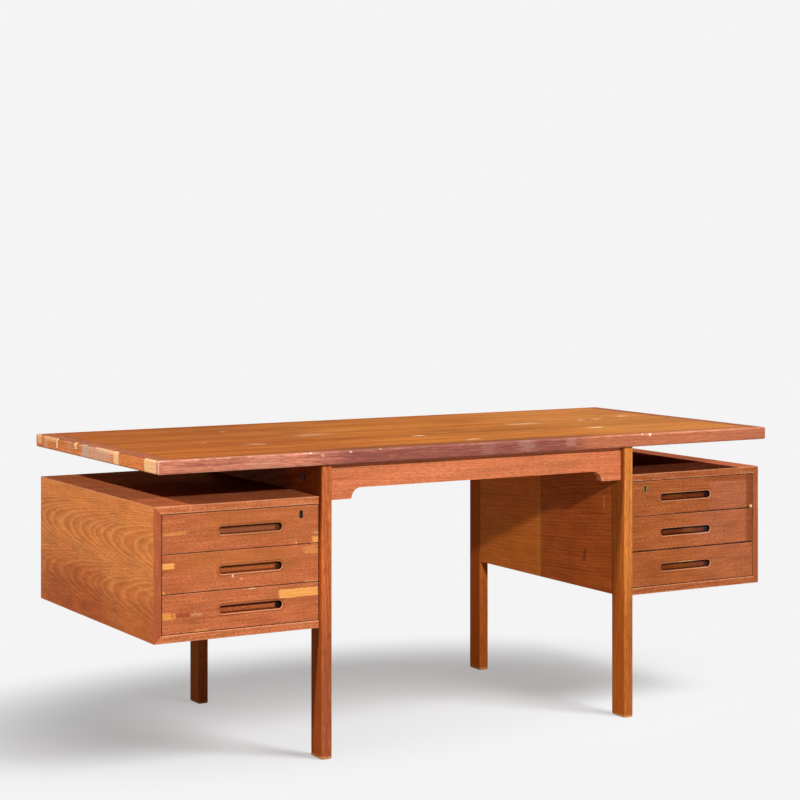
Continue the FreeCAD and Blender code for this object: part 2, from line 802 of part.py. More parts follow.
def make_locks():
    high = front_bottom(len(DRAWER_ROWS) - 1) + FRONT_HEIGHT
    keyhole_z = high - S.keyhole_drop
    half_width = S.lock_width / 2
    channel_width = S.lock_bolt_width / 2 + S.lock_play
    channel_depth = S.lock_bolt_thickness / 2 + S.lock_play
    bolt_high = high - S.lock_bolt_drop
    bolt_low = bolt_high - S.lock_bolt_height

    shell = block("lock_shell", (KEYHOLE_X - half_width, LOCK_FRONT, high - S.lock_height),
                  (KEYHOLE_X + half_width, FACE_BACK, high))
    channel = block("bolt_channel",
                    (KEYHOLE_X - channel_width, LOCK_MIDDLE - channel_depth, bolt_low - S.lock_play),
                    (KEYHOLE_X + channel_width, LOCK_MIDDLE + channel_depth, high + S.overrun))
    slot = S.keyhole_slot_width / 2
    reach = S.liner_height / 2 - S.keyhole_wall
    key_slot = block("key_slot", (KEYHOLE_X - slot, LOCK_FRONT - S.overrun, keyhole_z - reach),
                     (KEYHOLE_X + slot, LOCK_MIDDLE, keyhole_z + reach))
    space = joined("lock_space", [channel, key_slot])
    case = named("right_lock_case", cut("right_lock_case", shell, [space]))
    mirrored("left_lock_case", case, X_AXIS)

    bolt = block("right_lock_bolt",
                 (KEYHOLE_X - S.lock_bolt_width / 2, LOCK_MIDDLE - S.lock_bolt_thickness / 2, bolt_low),
                 (KEYHOLE_X + S.lock_bolt_width / 2, LOCK_MIDDLE + S.lock_bolt_thickness / 2, bolt_high))
    named("right_lock_bolt", bolt)
    mirrored("left_lock_bolt", bolt, X_AXIS)

    liner = new_body("liner_blank", KEYHOLE_X - S.liner_width / 2, FACE_FRONT - S.liner_proud,
                     keyhole_z - S.liner_height / 2)
    face = outline(liner, "liner_face", "XZ_Plane", upright_stadium(
        S.liner_width / 2, S.liner_height / 2, S.liner_width, S.liner_height))
    length = LOCK_FRONT - FACE_FRONT + S.liner_proud
    pad(liner, face, length, backwards=True)
    start = FACE_FRONT - S.liner_proud - S.overrun
    eye_z = keyhole_z + reach - S.keyhole_radius
    eye = rod("keyhole_eye", (KEYHOLE_X, start, eye_z), ALONG_Y, S.keyhole_radius,
              length + S.overrun * 2)
    stem = block("keyhole_stem", (KEYHOLE_X - slot, start, keyhole_z - reach),
                 (KEYHOLE_X + slot, LOCK_FRONT + S.overrun, eye_z))
    keyhole = joined("keyhole", [eye, stem])
    liner = named("right_keyhole_liner", cut("right_keyhole_liner", liner, [keyhole]))
    mirrored("left_keyhole_liner", liner, X_AXIS)


make_desktop()
make_legs()
make_aprons()
make_inner_panels()
make_cleats()
make_fasteners()
make_pedestals()
make_runners()
for row, name in enumerate(DRAWER_ROWS):
    make_drawer(row, name)
make_locks()
doc.recompute()

# Every object has to have come out whole before anything is written
for thing in doc.Objects:
    if "Invalid" in thing.State or "Error" in thing.State:
        raise RuntimeError("%s failed: %s" % (thing.Label, thing.State))
for thing in pieces:
    if thing.Shape.isNull() or not thing.Shape.isValid():
        raise RuntimeError(thing.Label + " has no valid shape")

os.makedirs("parts", exist_ok=True)
for thing in pieces:
    thing.Shape.exportStep("parts/%s.step" % thing.Label)
    box = thing.Shape.BoundBox
    print("%-28s %d solids  %9.1f cm3  %.1f x %.1f x %.1f" % (
        thing.Label, len(thing.Shape.Solids), thing.Shape.Volume / 1000,
        box.XLength, box.YLength, box.ZLength))
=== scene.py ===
# %% [markdown]
# # An executive desk in oiled teak
# The desk comes from its CAD model, already in metres and in its final place. This lesson gives
# every board a finish, makes the metal fasteners, and sets up a camera and a plain studio.

# %% Load the frame
import math

import bpy
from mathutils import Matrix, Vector


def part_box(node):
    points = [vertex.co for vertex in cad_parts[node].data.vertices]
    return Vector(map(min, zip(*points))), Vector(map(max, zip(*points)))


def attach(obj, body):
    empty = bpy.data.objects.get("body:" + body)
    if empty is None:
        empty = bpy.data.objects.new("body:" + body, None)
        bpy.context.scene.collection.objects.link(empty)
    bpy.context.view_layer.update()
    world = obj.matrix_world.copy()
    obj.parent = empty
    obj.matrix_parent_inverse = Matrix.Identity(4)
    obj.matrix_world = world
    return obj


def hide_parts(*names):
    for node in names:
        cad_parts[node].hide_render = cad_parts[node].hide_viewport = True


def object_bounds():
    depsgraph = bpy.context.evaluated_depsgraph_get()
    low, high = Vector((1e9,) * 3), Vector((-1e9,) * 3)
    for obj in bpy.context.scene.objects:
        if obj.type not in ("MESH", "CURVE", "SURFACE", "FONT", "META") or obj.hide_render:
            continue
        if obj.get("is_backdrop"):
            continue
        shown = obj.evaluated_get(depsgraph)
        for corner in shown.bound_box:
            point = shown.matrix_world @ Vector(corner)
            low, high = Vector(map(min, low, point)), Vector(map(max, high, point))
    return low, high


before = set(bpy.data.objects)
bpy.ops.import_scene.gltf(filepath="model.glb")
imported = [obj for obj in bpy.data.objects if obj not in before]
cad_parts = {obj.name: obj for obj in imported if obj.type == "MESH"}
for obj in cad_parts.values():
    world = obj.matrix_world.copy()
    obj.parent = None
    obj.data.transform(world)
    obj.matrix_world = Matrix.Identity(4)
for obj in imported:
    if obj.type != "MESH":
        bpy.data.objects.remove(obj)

cad_low, cad_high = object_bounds()
print("desk", [round(c, 3) for c in cad_high - cad_low], "m,", len(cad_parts), "pieces")

# %% [markdown]
# Sizes on furniture are quoted in millimetres and Blender works in metres, so one value turns
# one into the other. Colours are written as sRGB hex, as a colour picker shows them, and Blender's
# sockets take linear light. One function does that change for the whole file.

# %% Units and colours
MM = 0.001


def linear(hex_colour):
    """An sRGB hex colour as linear red, green, blue and alpha."""
    channels = [int(hex_colour[start:start + 2], 16) / 255 for start in (1, 3, 5)]
    return [c / 12.92 if c <= 0.04045 else ((c + 0.055) / 1.055) ** 2.4 for c in channels] + [1.0]


def metres(*lengths):
    """Millimetres as a vector in metres."""
    return Vector(lengths) * MM


def per_metre(*sizes):
    """How many times a pattern repeats in a metre, from its size in millimetres each way."""
    return Vector([1000 / size for size in sizes])


print("teak's middle brown is", [round(c, 3) for c in linear("#b5652f")])

# %% [markdown]
# Every finish below is a tree of nodes. One small function adds a node, sets its properties, and
# gives each input either a value or a link from another node, so a tree reads from top to bottom.
# What many boards share goes into a group, which has inputs and outputs of its own. A finish starts
# from the place on the piece, in Object coordinates, which stay with the piece when it moves.

# %% Functions for nodes
def add(tree, kind, inputs=None, **settings):
    """Add a node and return its first live output."""
    made = tree.nodes.new(kind)
    for name, value in settings.items():
        setattr(made, name, value)
    for key, value in (inputs or {}).items():
        if isinstance(value, bpy.types.NodeSocket):
            tree.links.new(value, made.inputs[key])
        else:
            made.inputs[key].default_value = value
    return next((socket for socket in made.outputs if socket.enabled), None)


def new_group(name, inputs, outputs):
    """An empty group of shader nodes, with its own inputs and outputs."""
    group = bpy.data.node_groups.new(name, "ShaderNodeTree")
    for label, kind in inputs.items():
        group.interface.new_socket(label, in_out="INPUT", socket_type="NodeSocket" + kind)
    for label in outputs:
        group.interface.new_socket(label, in_out="OUTPUT", socket_type="NodeSocketFloat")
    given = group.nodes.new("NodeGroupInput").outputs
    result = group.nodes.new("NodeGroupOutput").inputs
    return group, given, result


def new_finish(name):
    """A material, its empty tree, and the place on the piece that the tree starts from."""
    finish = bpy.data.materials.new(name)
    finish.use_nodes = True
    tree = finish.node_tree
    tree.nodes.clear()
    place = add(tree, "ShaderNodeTexCoord").node.outputs["Object"]
    return finish, tree, place


print("node helpers ready")

# %% [markdown]
# The camera stands in front of the desk and to its left, level, a little above the top. It was
# placed by fitting the desk's own corners to a photograph. A level camera keeps the legs upright,
# and the lens shift, not a tilt, brings the desk down into the frame.

# %% Camera
FOCAL_PIXELS = 2106.2
FRAME_PIXELS = 800
HORIZON_PIXELS = 241.3
CAMERA_PLACE = (-2784.9, -4776.2, 1226.2)
CAMERA_YAW = 30.04
SENSOR_WIDTH = 36.0
FAR_CLIP = 200.0

camera = bpy.data.cameras.new("camera")
camera.sensor_width = SENSOR_WIDTH
camera.lens = FOCAL_PIXELS / FRAME_PIXELS * SENSOR_WIDTH
camera.shift_y = HORIZON_PIXELS / FRAME_PIXELS - 0.5
camera.clip_end = FAR_CLIP
viewer = bpy.data.objects.new("camera", camera)
viewer.location = metres(*CAMERA_PLACE)
viewer.rotation_euler = (math.radians(90), 0, math.radians(-CAMERA_YAW))
scene = bpy.context.scene
scene.collection.objects.link(viewer)
scene.camera = viewer
print("lens", round(camera.lens, 1), "mm, shift", round(camera.shift_y, 3))

# %% [markdown]
# The studio has a pale surround. Rays that light the desk see a dimmer one than the camera does,
# which keeps the light at a plain level while the background stays nearly white. Rays that come
# off a gloss or through glass see what the camera sees.

# %% Surround
PAPER = "#f4f4f4"
AMBIENT = 0.14

scene.view_settings.view_transform = "Standard"
world = bpy.data.worlds.new("studio")
world.use_nodes = True
scene.world = world


def seen_directly(tree):
    """One for rays from the camera, from a gloss or through glass, and nothing for the rest."""
    path = add(tree, "ShaderNodeLightPath").node.outputs
    either = add(tree, "ShaderNodeMath", {0: path["Is Camera Ray"], 1: path["Is Glossy Ray"]},
                 operation="MAXIMUM")
    return add(tree, "ShaderNodeMath", {0: either, 1: path["Is Transmission Ray"]},
               operation="MAXIMUM")


tree = world.node_tree
tree.nodes.clear()
shown = add(tree, "ShaderNodeBackground", {"Color": linear(PAPER), "Strength": 1.0})
lighting = add(tree, "ShaderNodeBackground", {"Color": linear("#ffffff"), "Strength": AMBIENT})
surround = add(tree, "ShaderNodeMixShader", {0: seen_directly(tree), 1: lighting, 2: shown})
add(tree, "ShaderNodeOutputWorld", {"Surface": surround})
print("surround", PAPER, "to the eye and", AMBIENT, "to the desk")

# %% [markdown]
# The floor is a sheet of pale paper that runs back into the surround. Close to the desk it is a
# matt surface, so it takes the desk's shadow. Some of the surround's tone is mixed in even there,
# because a studio's shadow is never black, and further off the paper fades into that tone
# altogether, so no horizon shows. It gives the desk less light than the camera sees in it.

# %% Paper floor
SHADOW_MIDDLE = Vector((-0.12, 0.165, 0.0))
SHADOW_REACH = (0.974, 0.582, 1.0)
FADE_START, FADE_END = 0.65, 1.45
LEAST_FADE = 0.42
MATT_PAPER = "#f0f4f5"
BOUNCE = "#b8b8b8"
FLOOR_HALF = 40

paper, tree, place = new_finish("studio_paper")
reach = add(tree, "ShaderNodeVectorMath", {0: place, 1: SHADOW_MIDDLE}, operation="SUBTRACT")
reach = add(tree, "ShaderNodeVectorMath", {0: reach, 1: SHADOW_REACH}, operation="DIVIDE")
reach = add(tree, "ShaderNodeVectorMath", {0: reach}, operation="LENGTH").node.outputs["Value"]
far = add(tree, "ShaderNodeMapRange", {
    "Value": reach, "From Min": FADE_START, "From Max": FADE_END, "To Min": LEAST_FADE},
    interpolation_type="SMOOTHSTEP")
fade = add(tree, "ShaderNodeMath", {0: far, 1: seen_directly(tree)}, operation="MULTIPLY")
tint = add(tree, "ShaderNodeMix", {
    0: seen_directly(tree), 6: linear(BOUNCE), 7: linear(MATT_PAPER)}, data_type="RGBA")
matt = add(tree, "ShaderNodeBsdfDiffuse", {"Color": tint})
glow = add(tree, "ShaderNodeEmission", {"Color": linear(PAPER)})
sheet = add(tree, "ShaderNodeMixShader", {0: fade, 1: matt, 2: glow})
add(tree, "ShaderNodeOutputMaterial", {"Surface": sheet})

corners = [(x * FLOOR_HALF, y * FLOOR_HALF, 0.0) for x, y in ((-1, -1), (1, -1), (1, 1), (-1, 1))]
floor_mesh = bpy.data.meshes.new("floor")
floor_mesh.from_pydata(corners, [], [(0, 1, 2, 3)])
floor_mesh.materials.append(paper)
floor = bpy.data.objects.new("floor", floor_mesh)
scene.collection.objects.link(floor)
floor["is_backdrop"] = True
print("floor keeps shadow within", SHADOW_REACH[:2], "m of", SHADOW_MIDDLE[:2])

# %% [markdown]
# The light is what a furniture photographer sets up: a small lamp low in front and a little to the
# left, which gives the lip a crisp shadow, one at each side, and a large weak one overhead. A weak
# lamp behind shows the desk's back, and stays out of its gloss. A sixth, larger lamp lights the
# floor alone. Light linking names what a lamp lights, so the shadow on the paper can be soft while
# those on the desk stay crisp. A lamp's strength is worked out from the brightness it gives a white
# card, and so a colour renders about as it is written.

# %% Softboxes
def softbox(name, at, aim, size, card, lights):
    """A square lamp that gives a white card at its aim the brightness named."""
    lamp = bpy.data.lights.new(name, "AREA")
    lamp.size = size
    ray = Vector(aim) - Vector(at)
    lamp.energy = card * math.pi ** 2 * ray.length_squared
    holder = bpy.data.objects.new(name, lamp)
    holder.location = at
    holder.rotation_euler = ray.to_track_quat("-Z", "Y").to_euler()
    holder.visible_camera = False
    holder.light_linking.receiver_collection = lights
    scene.collection.objects.link(holder)


floor_alone = bpy.data.collections.new("floor_alone")
floor_alone.objects.link(floor)
all_but_floor = bpy.data.collections.new("all_but_floor")
all_but_floor.objects.link(floor)
all_but_floor.collection_objects[0].light_linking.link_state = "EXCLUDE"
# A row is a lamp's name, place, aim, size in metres, brightness on the card, and what it lights.
for row in (
        ("front_softbox", (-0.72, -4.88, 2.53), (0.0, -0.37, 0.5), 0.2, 0.98, all_but_floor),
        ("left_softbox", (-3.2, -0.65, 2.55), (-0.88, 0.0, 0.47), 0.14, 1.10, all_but_floor),
        ("right_softbox", (2.945, -0.5, 3.126), (0.7, 0.0, 0.66), 0.14, 0.72, all_but_floor),
        ("overhead_softbox", (0.3, -0.6, 3.6), (0.0, 0.0, 0.7), 1.6, 0.12, all_but_floor),
        ("back_softbox", (0.4, 4.6, 1.45), (0.0, 0.37, 0.45), 1.0, 0.4, all_but_floor),
        ("floor_softbox", (1.35, -2.69, 3.34), (0.0, 0.0, 0.0), 1.8, 1.02, floor_alone)):
    softbox(*row)
scene.objects["back_softbox"].visible_glossy = False

# %% [markdown]
# Teak is a golden to red-brown wood with growth rings a few millimetres wide. A board shows them
# as lines, and how they run depends on how the board lay in the log. So the figure is made as the
# log made it: rings round a pith that lies beside the board and leans a little along it. The
# board's surface cuts through that field, and its faces, edges and ends agree. A slow wobble keeps
# the rings from being perfect circles.

# %% The log that a board was cut from
WANDER_SIZE = (770, 200, 200)
ACROSS_GRAIN = (0.0, 1.0, 1.0)


def wobble(tree, point, scale):
    """A push to and fro, round zero, that changes slowly from place to place."""
    cloud = add(tree, "ShaderNodeTexNoise", {"Vector": point, "Scale": scale, "Detail": 2.0})
    return add(tree, "ShaderNodeVectorMath",
               {0: cloud.node.outputs["Color"], 1: (0.5, 0.5, 0.5)}, operation="SUBTRACT")


log_field, given, result = new_group(
    "log_field",
    {"Vector": "Vector", "Pith": "Vector", "Lean": "Vector", "Ring": "Float", "Wander": "Float"},
    ["Field"])
tree = log_field
slow = add(tree, "ShaderNodeVectorMath", {0: given["Vector"], 1: per_metre(*WANDER_SIZE)},
           operation="MULTIPLY")
drift = add(tree, "ShaderNodeVectorMath",
            {0: wobble(tree, slow, 1.0), "Scale": given["Wander"]}, operation="SCALE")
moved = add(tree, "ShaderNodeVectorMath", {0: given["Vector"], 1: drift}, operation="ADD")
along = add(tree, "ShaderNodeSeparateXYZ", {0: moved})
leaning = add(tree, "ShaderNodeVectorMath", {0: given["Lean"], "Scale": along}, operation="SCALE")
off_pith = add(tree, "ShaderNodeVectorMath", {0: moved, 1: given["Pith"]}, operation="SUBTRACT")
off_pith = add(tree, "ShaderNodeVectorMath", {0: off_pith, 1: leaning}, operation="ADD")
off_pith = add(tree, "ShaderNodeVectorMath", {0: off_pith, 1: ACROSS_GRAIN}, operation="MULTIPLY")
radius = add(tree, "ShaderNodeVectorMath", {0: off_pith}, operation="LENGTH").node.outputs["Value"]
rings = add(tree, "ShaderNodeMath", {0: radius, 1: given["Ring"]}, operation="DIVIDE")
tree.links.new(rings, result["Field"])
print("log field:", len(tree.nodes), "nodes")

# %% [markdown]
# Within a ring the pale spring wood darkens slowly towards the late wood, and then the next ring
# starts at once, with a thin pale line where the two meet. Over the rings lie long streaks of
# colour, a slow mottle, a few pale specks where the surface is chipped, and the open pores, short
# dark dashes along the grain. All sizes are in millimetres, along the grain and across it. Real
# pores are a quarter of a millimetre wide; they are drawn about ten times as coarse here, because
# finer ones would not show at this size.

# %% The figure of a teak board
STREAK_SIZE = (125, 5.3, 5.3)
PORE_SIZE = (7.2, 2.5, 2.5)
MOTTLE_SIZE = (90, 28, 28)
SPECK_SIZE = (6.0, 4.4, 4.4)
FIGURE_ROUGHNESS = 0.6
UNEVEN_STEP = 0.23
UNEVEN_RINGS = 2.6
SPRING_WOOD, LATE_WOOD = 0.05, 0.8
LINE_START, LINE_END = 0.14, 0.04

teak_figure, given, result = new_group(
    "teak_figure", {"Vector": "Vector", "Field": "Float"},
    ["Rings", "Lines", "Streaks", "Pores", "Mottle", "Specks"])
tree = teak_figure
uneven = add(tree, "ShaderNodeMath", {0: given["Field"], 1: UNEVEN_STEP}, operation="MULTIPLY")
uneven = add(tree, "ShaderNodeTexNoise", {"W": uneven, "Scale": 1.0, "Detail": 2.0},
             noise_dimensions="1D")
counted = add(tree, "ShaderNodeMath", {0: uneven, 1: UNEVEN_RINGS, 2: given["Field"]},
              operation="MULTIPLY_ADD")
phase = add(tree, "ShaderNodeMath", {0: counted}, operation="FRACT")
late = add(tree, "ShaderNodeMapRange", {
    "Value": phase, "From Min": SPRING_WOOD, "From Max": LATE_WOOD},
    interpolation_type="SMOOTHSTEP")
turn = add(tree, "ShaderNodeMapRange", {"Value": phase, "From Min": 1.0, "From Max": LATE_WOOD})
ring_tone = add(tree, "ShaderNodeMath", {0: late, 1: turn}, operation="MULTIPLY")
tree.links.new(ring_tone, result["Rings"])
line = add(tree, "ShaderNodeMapRange", {
    "Value": phase, "From Min": LINE_START, "From Max": LINE_END},
    interpolation_type="SMOOTHSTEP")
for label, size, detail, dim, full in (
        ("Streaks", STREAK_SIZE, 6.0, 0.30, 0.70), ("Pores", PORE_SIZE, 3.0, 0.43, 0.63),
        ("Mottle", MOTTLE_SIZE, 4.0, 0.28, 0.72), ("Specks", SPECK_SIZE, 0.0, 0.82, 0.87)):
    stretched = add(tree, "ShaderNodeVectorMath", {0: given["Vector"], 1: per_metre(*size)},
                    operation="MULTIPLY")
    drawn = add(tree, "ShaderNodeTexNoise", {
        "Vector": stretched, "Scale": 1.0, "Detail": detail, "Roughness": FIGURE_ROUGHNESS})
    drawn = add(tree, "ShaderNodeMapRange", {"Value": drawn, "From Min": dim, "From Max": full})
    tree.links.new(drawn, result[label])
    if label == "Mottle":
        broken = add(tree, "ShaderNodeMath", {0: line, 1: drawn}, operation="MULTIPLY")
        tree.links.new(broken, result["Lines"])
print("teak figure:", len(tree.nodes), "nodes")

# %% [markdown]
# An old desk is worn where hands and chairs touch it. The arrises, the long edges of a board, lose
# their oil first and turn pale. A board is a box, so a point lies on an arris where it is close to
# two of the box's faces at once. That needs no extra geometry, and it holds in every view.

# %% Worn arrises
RUB_SIZE = 18.18
LEAST_RUB = 0.25
ARRIS_CORE = 0.35

worn_arris, given, result = new_group(
    "worn_arris", {"Vector": "Vector", "Low": "Vector", "High": "Vector", "Width": "Float"},
    ["Mask"])
tree = worn_arris
above = add(tree, "ShaderNodeVectorMath", {0: given["Vector"], 1: given["Low"]},
            operation="SUBTRACT")
below = add(tree, "ShaderNodeVectorMath", {0: given["High"], 1: given["Vector"]},
            operation="SUBTRACT")
depth = add(tree, "ShaderNodeVectorMath", {0: above, 1: below}, operation="MINIMUM")
depth = add(tree, "ShaderNodeSeparateXYZ", {0: depth}).node.outputs
nearer = add(tree, "ShaderNodeMath", {0: depth["X"], 1: depth["Y"]}, operation="MINIMUM")
further = add(tree, "ShaderNodeMath", {0: depth["X"], 1: depth["Y"]}, operation="MAXIMUM")
other = add(tree, "ShaderNodeMath", {0: further, 1: depth["Z"]}, operation="MINIMUM")
second = add(tree, "ShaderNodeMath", {0: nearer, 1: other}, operation="MAXIMUM")
rubbed = add(tree, "ShaderNodeTexNoise", {
    "Vector": given["Vector"], "Scale": 1 / (RUB_SIZE * MM), "Detail": 4.0})
rubbed = add(tree, "ShaderNodeMapRange", {
    "Value": rubbed, "From Min": 0.3, "From Max": 0.7, "To Min": LEAST_RUB})
width = add(tree, "ShaderNodeMath", {0: given["Width"], 1: rubbed}, operation="MULTIPLY")
share = add(tree, "ShaderNodeMath", {0: second, 1: width}, operation="DIVIDE")
pale = add(tree, "ShaderNodeMapRange", {"Value": share, "From Min": 1.0, "From Max": ARRIS_CORE},
           interpolation_type="SMOOTHSTEP")
tree.links.new(pale, result["Mask"])
print("worn arris:", len(tree.nodes), "nodes")

# %% [markdown]
# Repairs, stains and scratches each have a place. One group makes a patch of any size: a box round
# a centre, turned about an axis. Wood tears along its fibres, so the patch's border is pushed to
# and fro along the grain by a noise of fine, long fibres, and the same fibres thin it out inside.

# %% Patches and scratches
FIBRE_SIZE = 2.4
FIBRE_STRETCH = 0.95
FRAY_SIZE = 6.25
THIN_START, THIN_END, THINNEST = 0.66, 0.42, 0.6

patch, given, result = new_group(
    "patch", {"Vector": "Vector", "Centre": "Vector", "Half": "Vector", "Axis": "Vector",
              "Angle": "Float", "Grain": "Vector", "Soft": "Float", "Ragged": "Float"}, ["Mask"])
tree = patch
along = add(tree, "ShaderNodeVectorMath", {0: given["Vector"], 1: given["Grain"]},
            operation="DOT_PRODUCT").node.outputs["Value"]
along = add(tree, "ShaderNodeMath", {0: along, 1: FIBRE_STRETCH}, operation="MULTIPLY")
along = add(tree, "ShaderNodeVectorMath", {0: given["Grain"], "Scale": along}, operation="SCALE")
fibre = add(tree, "ShaderNodeVectorMath", {0: given["Vector"], 1: along}, operation="SUBTRACT")
torn = add(tree, "ShaderNodeTexNoise", {
    "Vector": fibre, "Scale": 1 / (FIBRE_SIZE * MM), "Detail": 3.0})
shift = add(tree, "ShaderNodeMapRange", {
    "Value": torn, "From Min": 0.3, "From Max": 0.7, "To Min": -1.0, "To Max": 1.0})
shift = add(tree, "ShaderNodeMath", {0: shift, 1: given["Ragged"]}, operation="MULTIPLY")
shift = add(tree, "ShaderNodeVectorMath", {0: given["Grain"], "Scale": shift}, operation="SCALE")
point = add(tree, "ShaderNodeVectorMath", {0: given["Vector"], 1: shift}, operation="ADD")
fray = wobble(tree, given["Vector"], 1 / (FRAY_SIZE * MM))
fray = add(tree, "ShaderNodeVectorMath", {0: fray, "Scale": given["Ragged"]}, operation="SCALE")
point = add(tree, "ShaderNodeVectorMath", {0: point, 1: fray}, operation="ADD")
point = add(tree, "ShaderNodeVectorRotate", {
    "Vector": point, "Center": given["Centre"], "Axis": given["Axis"], "Angle": given["Angle"]},
    rotation_type="AXIS_ANGLE")
point = add(tree, "ShaderNodeVectorMath", {0: point, 1: given["Centre"]}, operation="SUBTRACT")
point = add(tree, "ShaderNodeVectorMath", {0: point}, operation="ABSOLUTE")
point = add(tree, "ShaderNodeVectorMath", {0: point, 1: given["Half"]}, operation="SUBTRACT")
point = add(tree, "ShaderNodeSeparateXYZ", {0: point}).node.outputs
outside = add(tree, "ShaderNodeMath", {0: point["X"], 1: point["Y"]}, operation="MAXIMUM")
outside = add(tree, "ShaderNodeMath", {0: outside, 1: point["Z"]}, operation="MAXIMUM")
share = add(tree, "ShaderNodeMath", {0: outside, 1: given["Soft"]}, operation="DIVIDE")
mask = add(tree, "ShaderNodeMapRange", {"Value": share, "From Min": 1.0, "From Max": 0.0},
           interpolation_type="SMOOTHSTEP")
thin = add(tree, "ShaderNodeMapRange", {
    "Value": torn, "From Min": THIN_START, "From Max": THIN_END, "To Min": THINNEST})
mask = add(tree, "ShaderNodeMath", {0: mask, 1: thin}, operation="MULTIPLY")
tree.links.new(mask, result["Mask"])
print("patch:", len(tree.nodes), "nodes")

# %% [markdown]
# Wear, dirt and patches all go on as paint does, layer over layer. A layer has a mask, which says
# where it lies, a strength and a tint. It may cover the wood, darken it by multiplying, or lighten
# it by adding, and the last two keep the grain.

# %% Layers over the wood
GRAIN_AXIS = {"X": (1, 0, 0), "Y": (0, 1, 0), "Z": (0, 0, 1)}


def lay(tree, colour, mask, strength, tint, blend="MIX"):
    """Lay a tint over a colour where the mask says, as strong as named."""
    share = add(tree, "ShaderNodeMath", {0: mask, 1: strength}, operation="MULTIPLY")
    return add(tree, "ShaderNodeMix", {0: share, 6: colour, 7: linear(tint)},
               data_type="RGBA", blend_type=blend)


def lay_patches(tree, place, colour, patches, grain):
    """Lay the patches over a colour, one after another."""
    for mark in patches:
        mask = add(tree, "ShaderNodeGroup", {
            "Vector": place, "Centre": mark["centre"], "Half": mark["half"], "Axis": mark["axis"],
            "Angle": math.radians(mark.get("angle", 0)),
            "Grain": GRAIN_AXIS[mark.get("grain", grain)],
            "Soft": mark["soft"] * MM, "Ragged": mark["ragged"] * MM}, node_tree=patch)
        colour = lay(tree, colour, mask, mark["strength"], mark["colour"],
                     mark.get("blend", "MIX"))
    return colour


print("layers ready")

# %% [markdown]
# A finger pull is a long slot with round ends. The slot itself is cut in the CAD model, and one
# group gives the distance from its outline, so that the finish can follow it. The slot stops short
# of the board's back, so the distance grows fast behind it and the back shows none of this.

# %% Distance from a finger pull
PULL_STRAIGHT, PULL_RADIUS = 72.5 * MM, 8.5 * MM
PULL_END = 6 * MM
STEEP = 10.0

slot_distance, given, result = new_group(
    "slot_distance",
    {"Vector": "Vector", "Centre": "Vector", "Straight": "Float", "Radius": "Float"},
    ["Distance"])
tree = slot_distance
offset = add(tree, "ShaderNodeVectorMath", {0: given["Vector"], 1: given["Centre"]},
             operation="SUBTRACT")
offset = add(tree, "ShaderNodeSeparateXYZ", {0: offset}).node.outputs
sideways = add(tree, "ShaderNodeMath", {0: offset["X"]}, operation="ABSOLUTE")
sideways = add(tree, "ShaderNodeMath", {0: sideways, 1: given["Straight"]}, operation="SUBTRACT")
sideways = add(tree, "ShaderNodeMath", {0: sideways, 1: 0.0}, operation="MAXIMUM")
flat = add(tree, "ShaderNodeCombineXYZ", {0: sideways, 1: offset["Z"]})
span = add(tree, "ShaderNodeVectorMath", {0: flat}, operation="LENGTH").node.outputs["Value"]
signed = add(tree, "ShaderNodeMath", {0: span, 1: given["Radius"]}, operation="SUBTRACT")
beyond = add(tree, "ShaderNodeMath", {0: offset["Y"], 1: PULL_END}, operation="SUBTRACT")
beyond = add(tree, "ShaderNodeMath", {0: beyond, 1: STEEP}, operation="MULTIPLY")
signed = add(tree, "ShaderNodeMath", {0: signed, 1: beyond}, operation="MAXIMUM")
tree.links.new(signed, result["Distance"])
print("slot distance:", len(tree.nodes), "nodes")

# %% [markdown]
# Fingers have rubbed a pull's lower rim pale. Inside, the wood is darker, partly from its dark oil
# and partly as painted shade, and more painted shade lies under its upper edge, along its lower one
# and at its far end. A faint line of painted shade runs round it. Each place is a range of
# distances, in millimetres, from the slot's outline or from its middle.

# %% Wear and painted shade in a finger pull
BARE_ARRIS = "#d6946c"
DIRT_AND_SHADE = "#260c06"
WITHIN = metres(1.6, 0.4)
# Painted shade under the upper edge, along the lower one and at the far end, and a painted shade
# line round the slot.
ROOF, ROOF_SHADE = metres(0.5, 3.5), 0.9
SILL, SILL_SHADE = metres(-5.5, -7.5), 0.6
FAR_END = metres(6, 2)
OUTLINE_AT, OUTLINE = 5 * MM, metres(1.8, 0.6)
RIM = metres(3.6, 2.4)
LOWER_RIM = metres(7, 0)


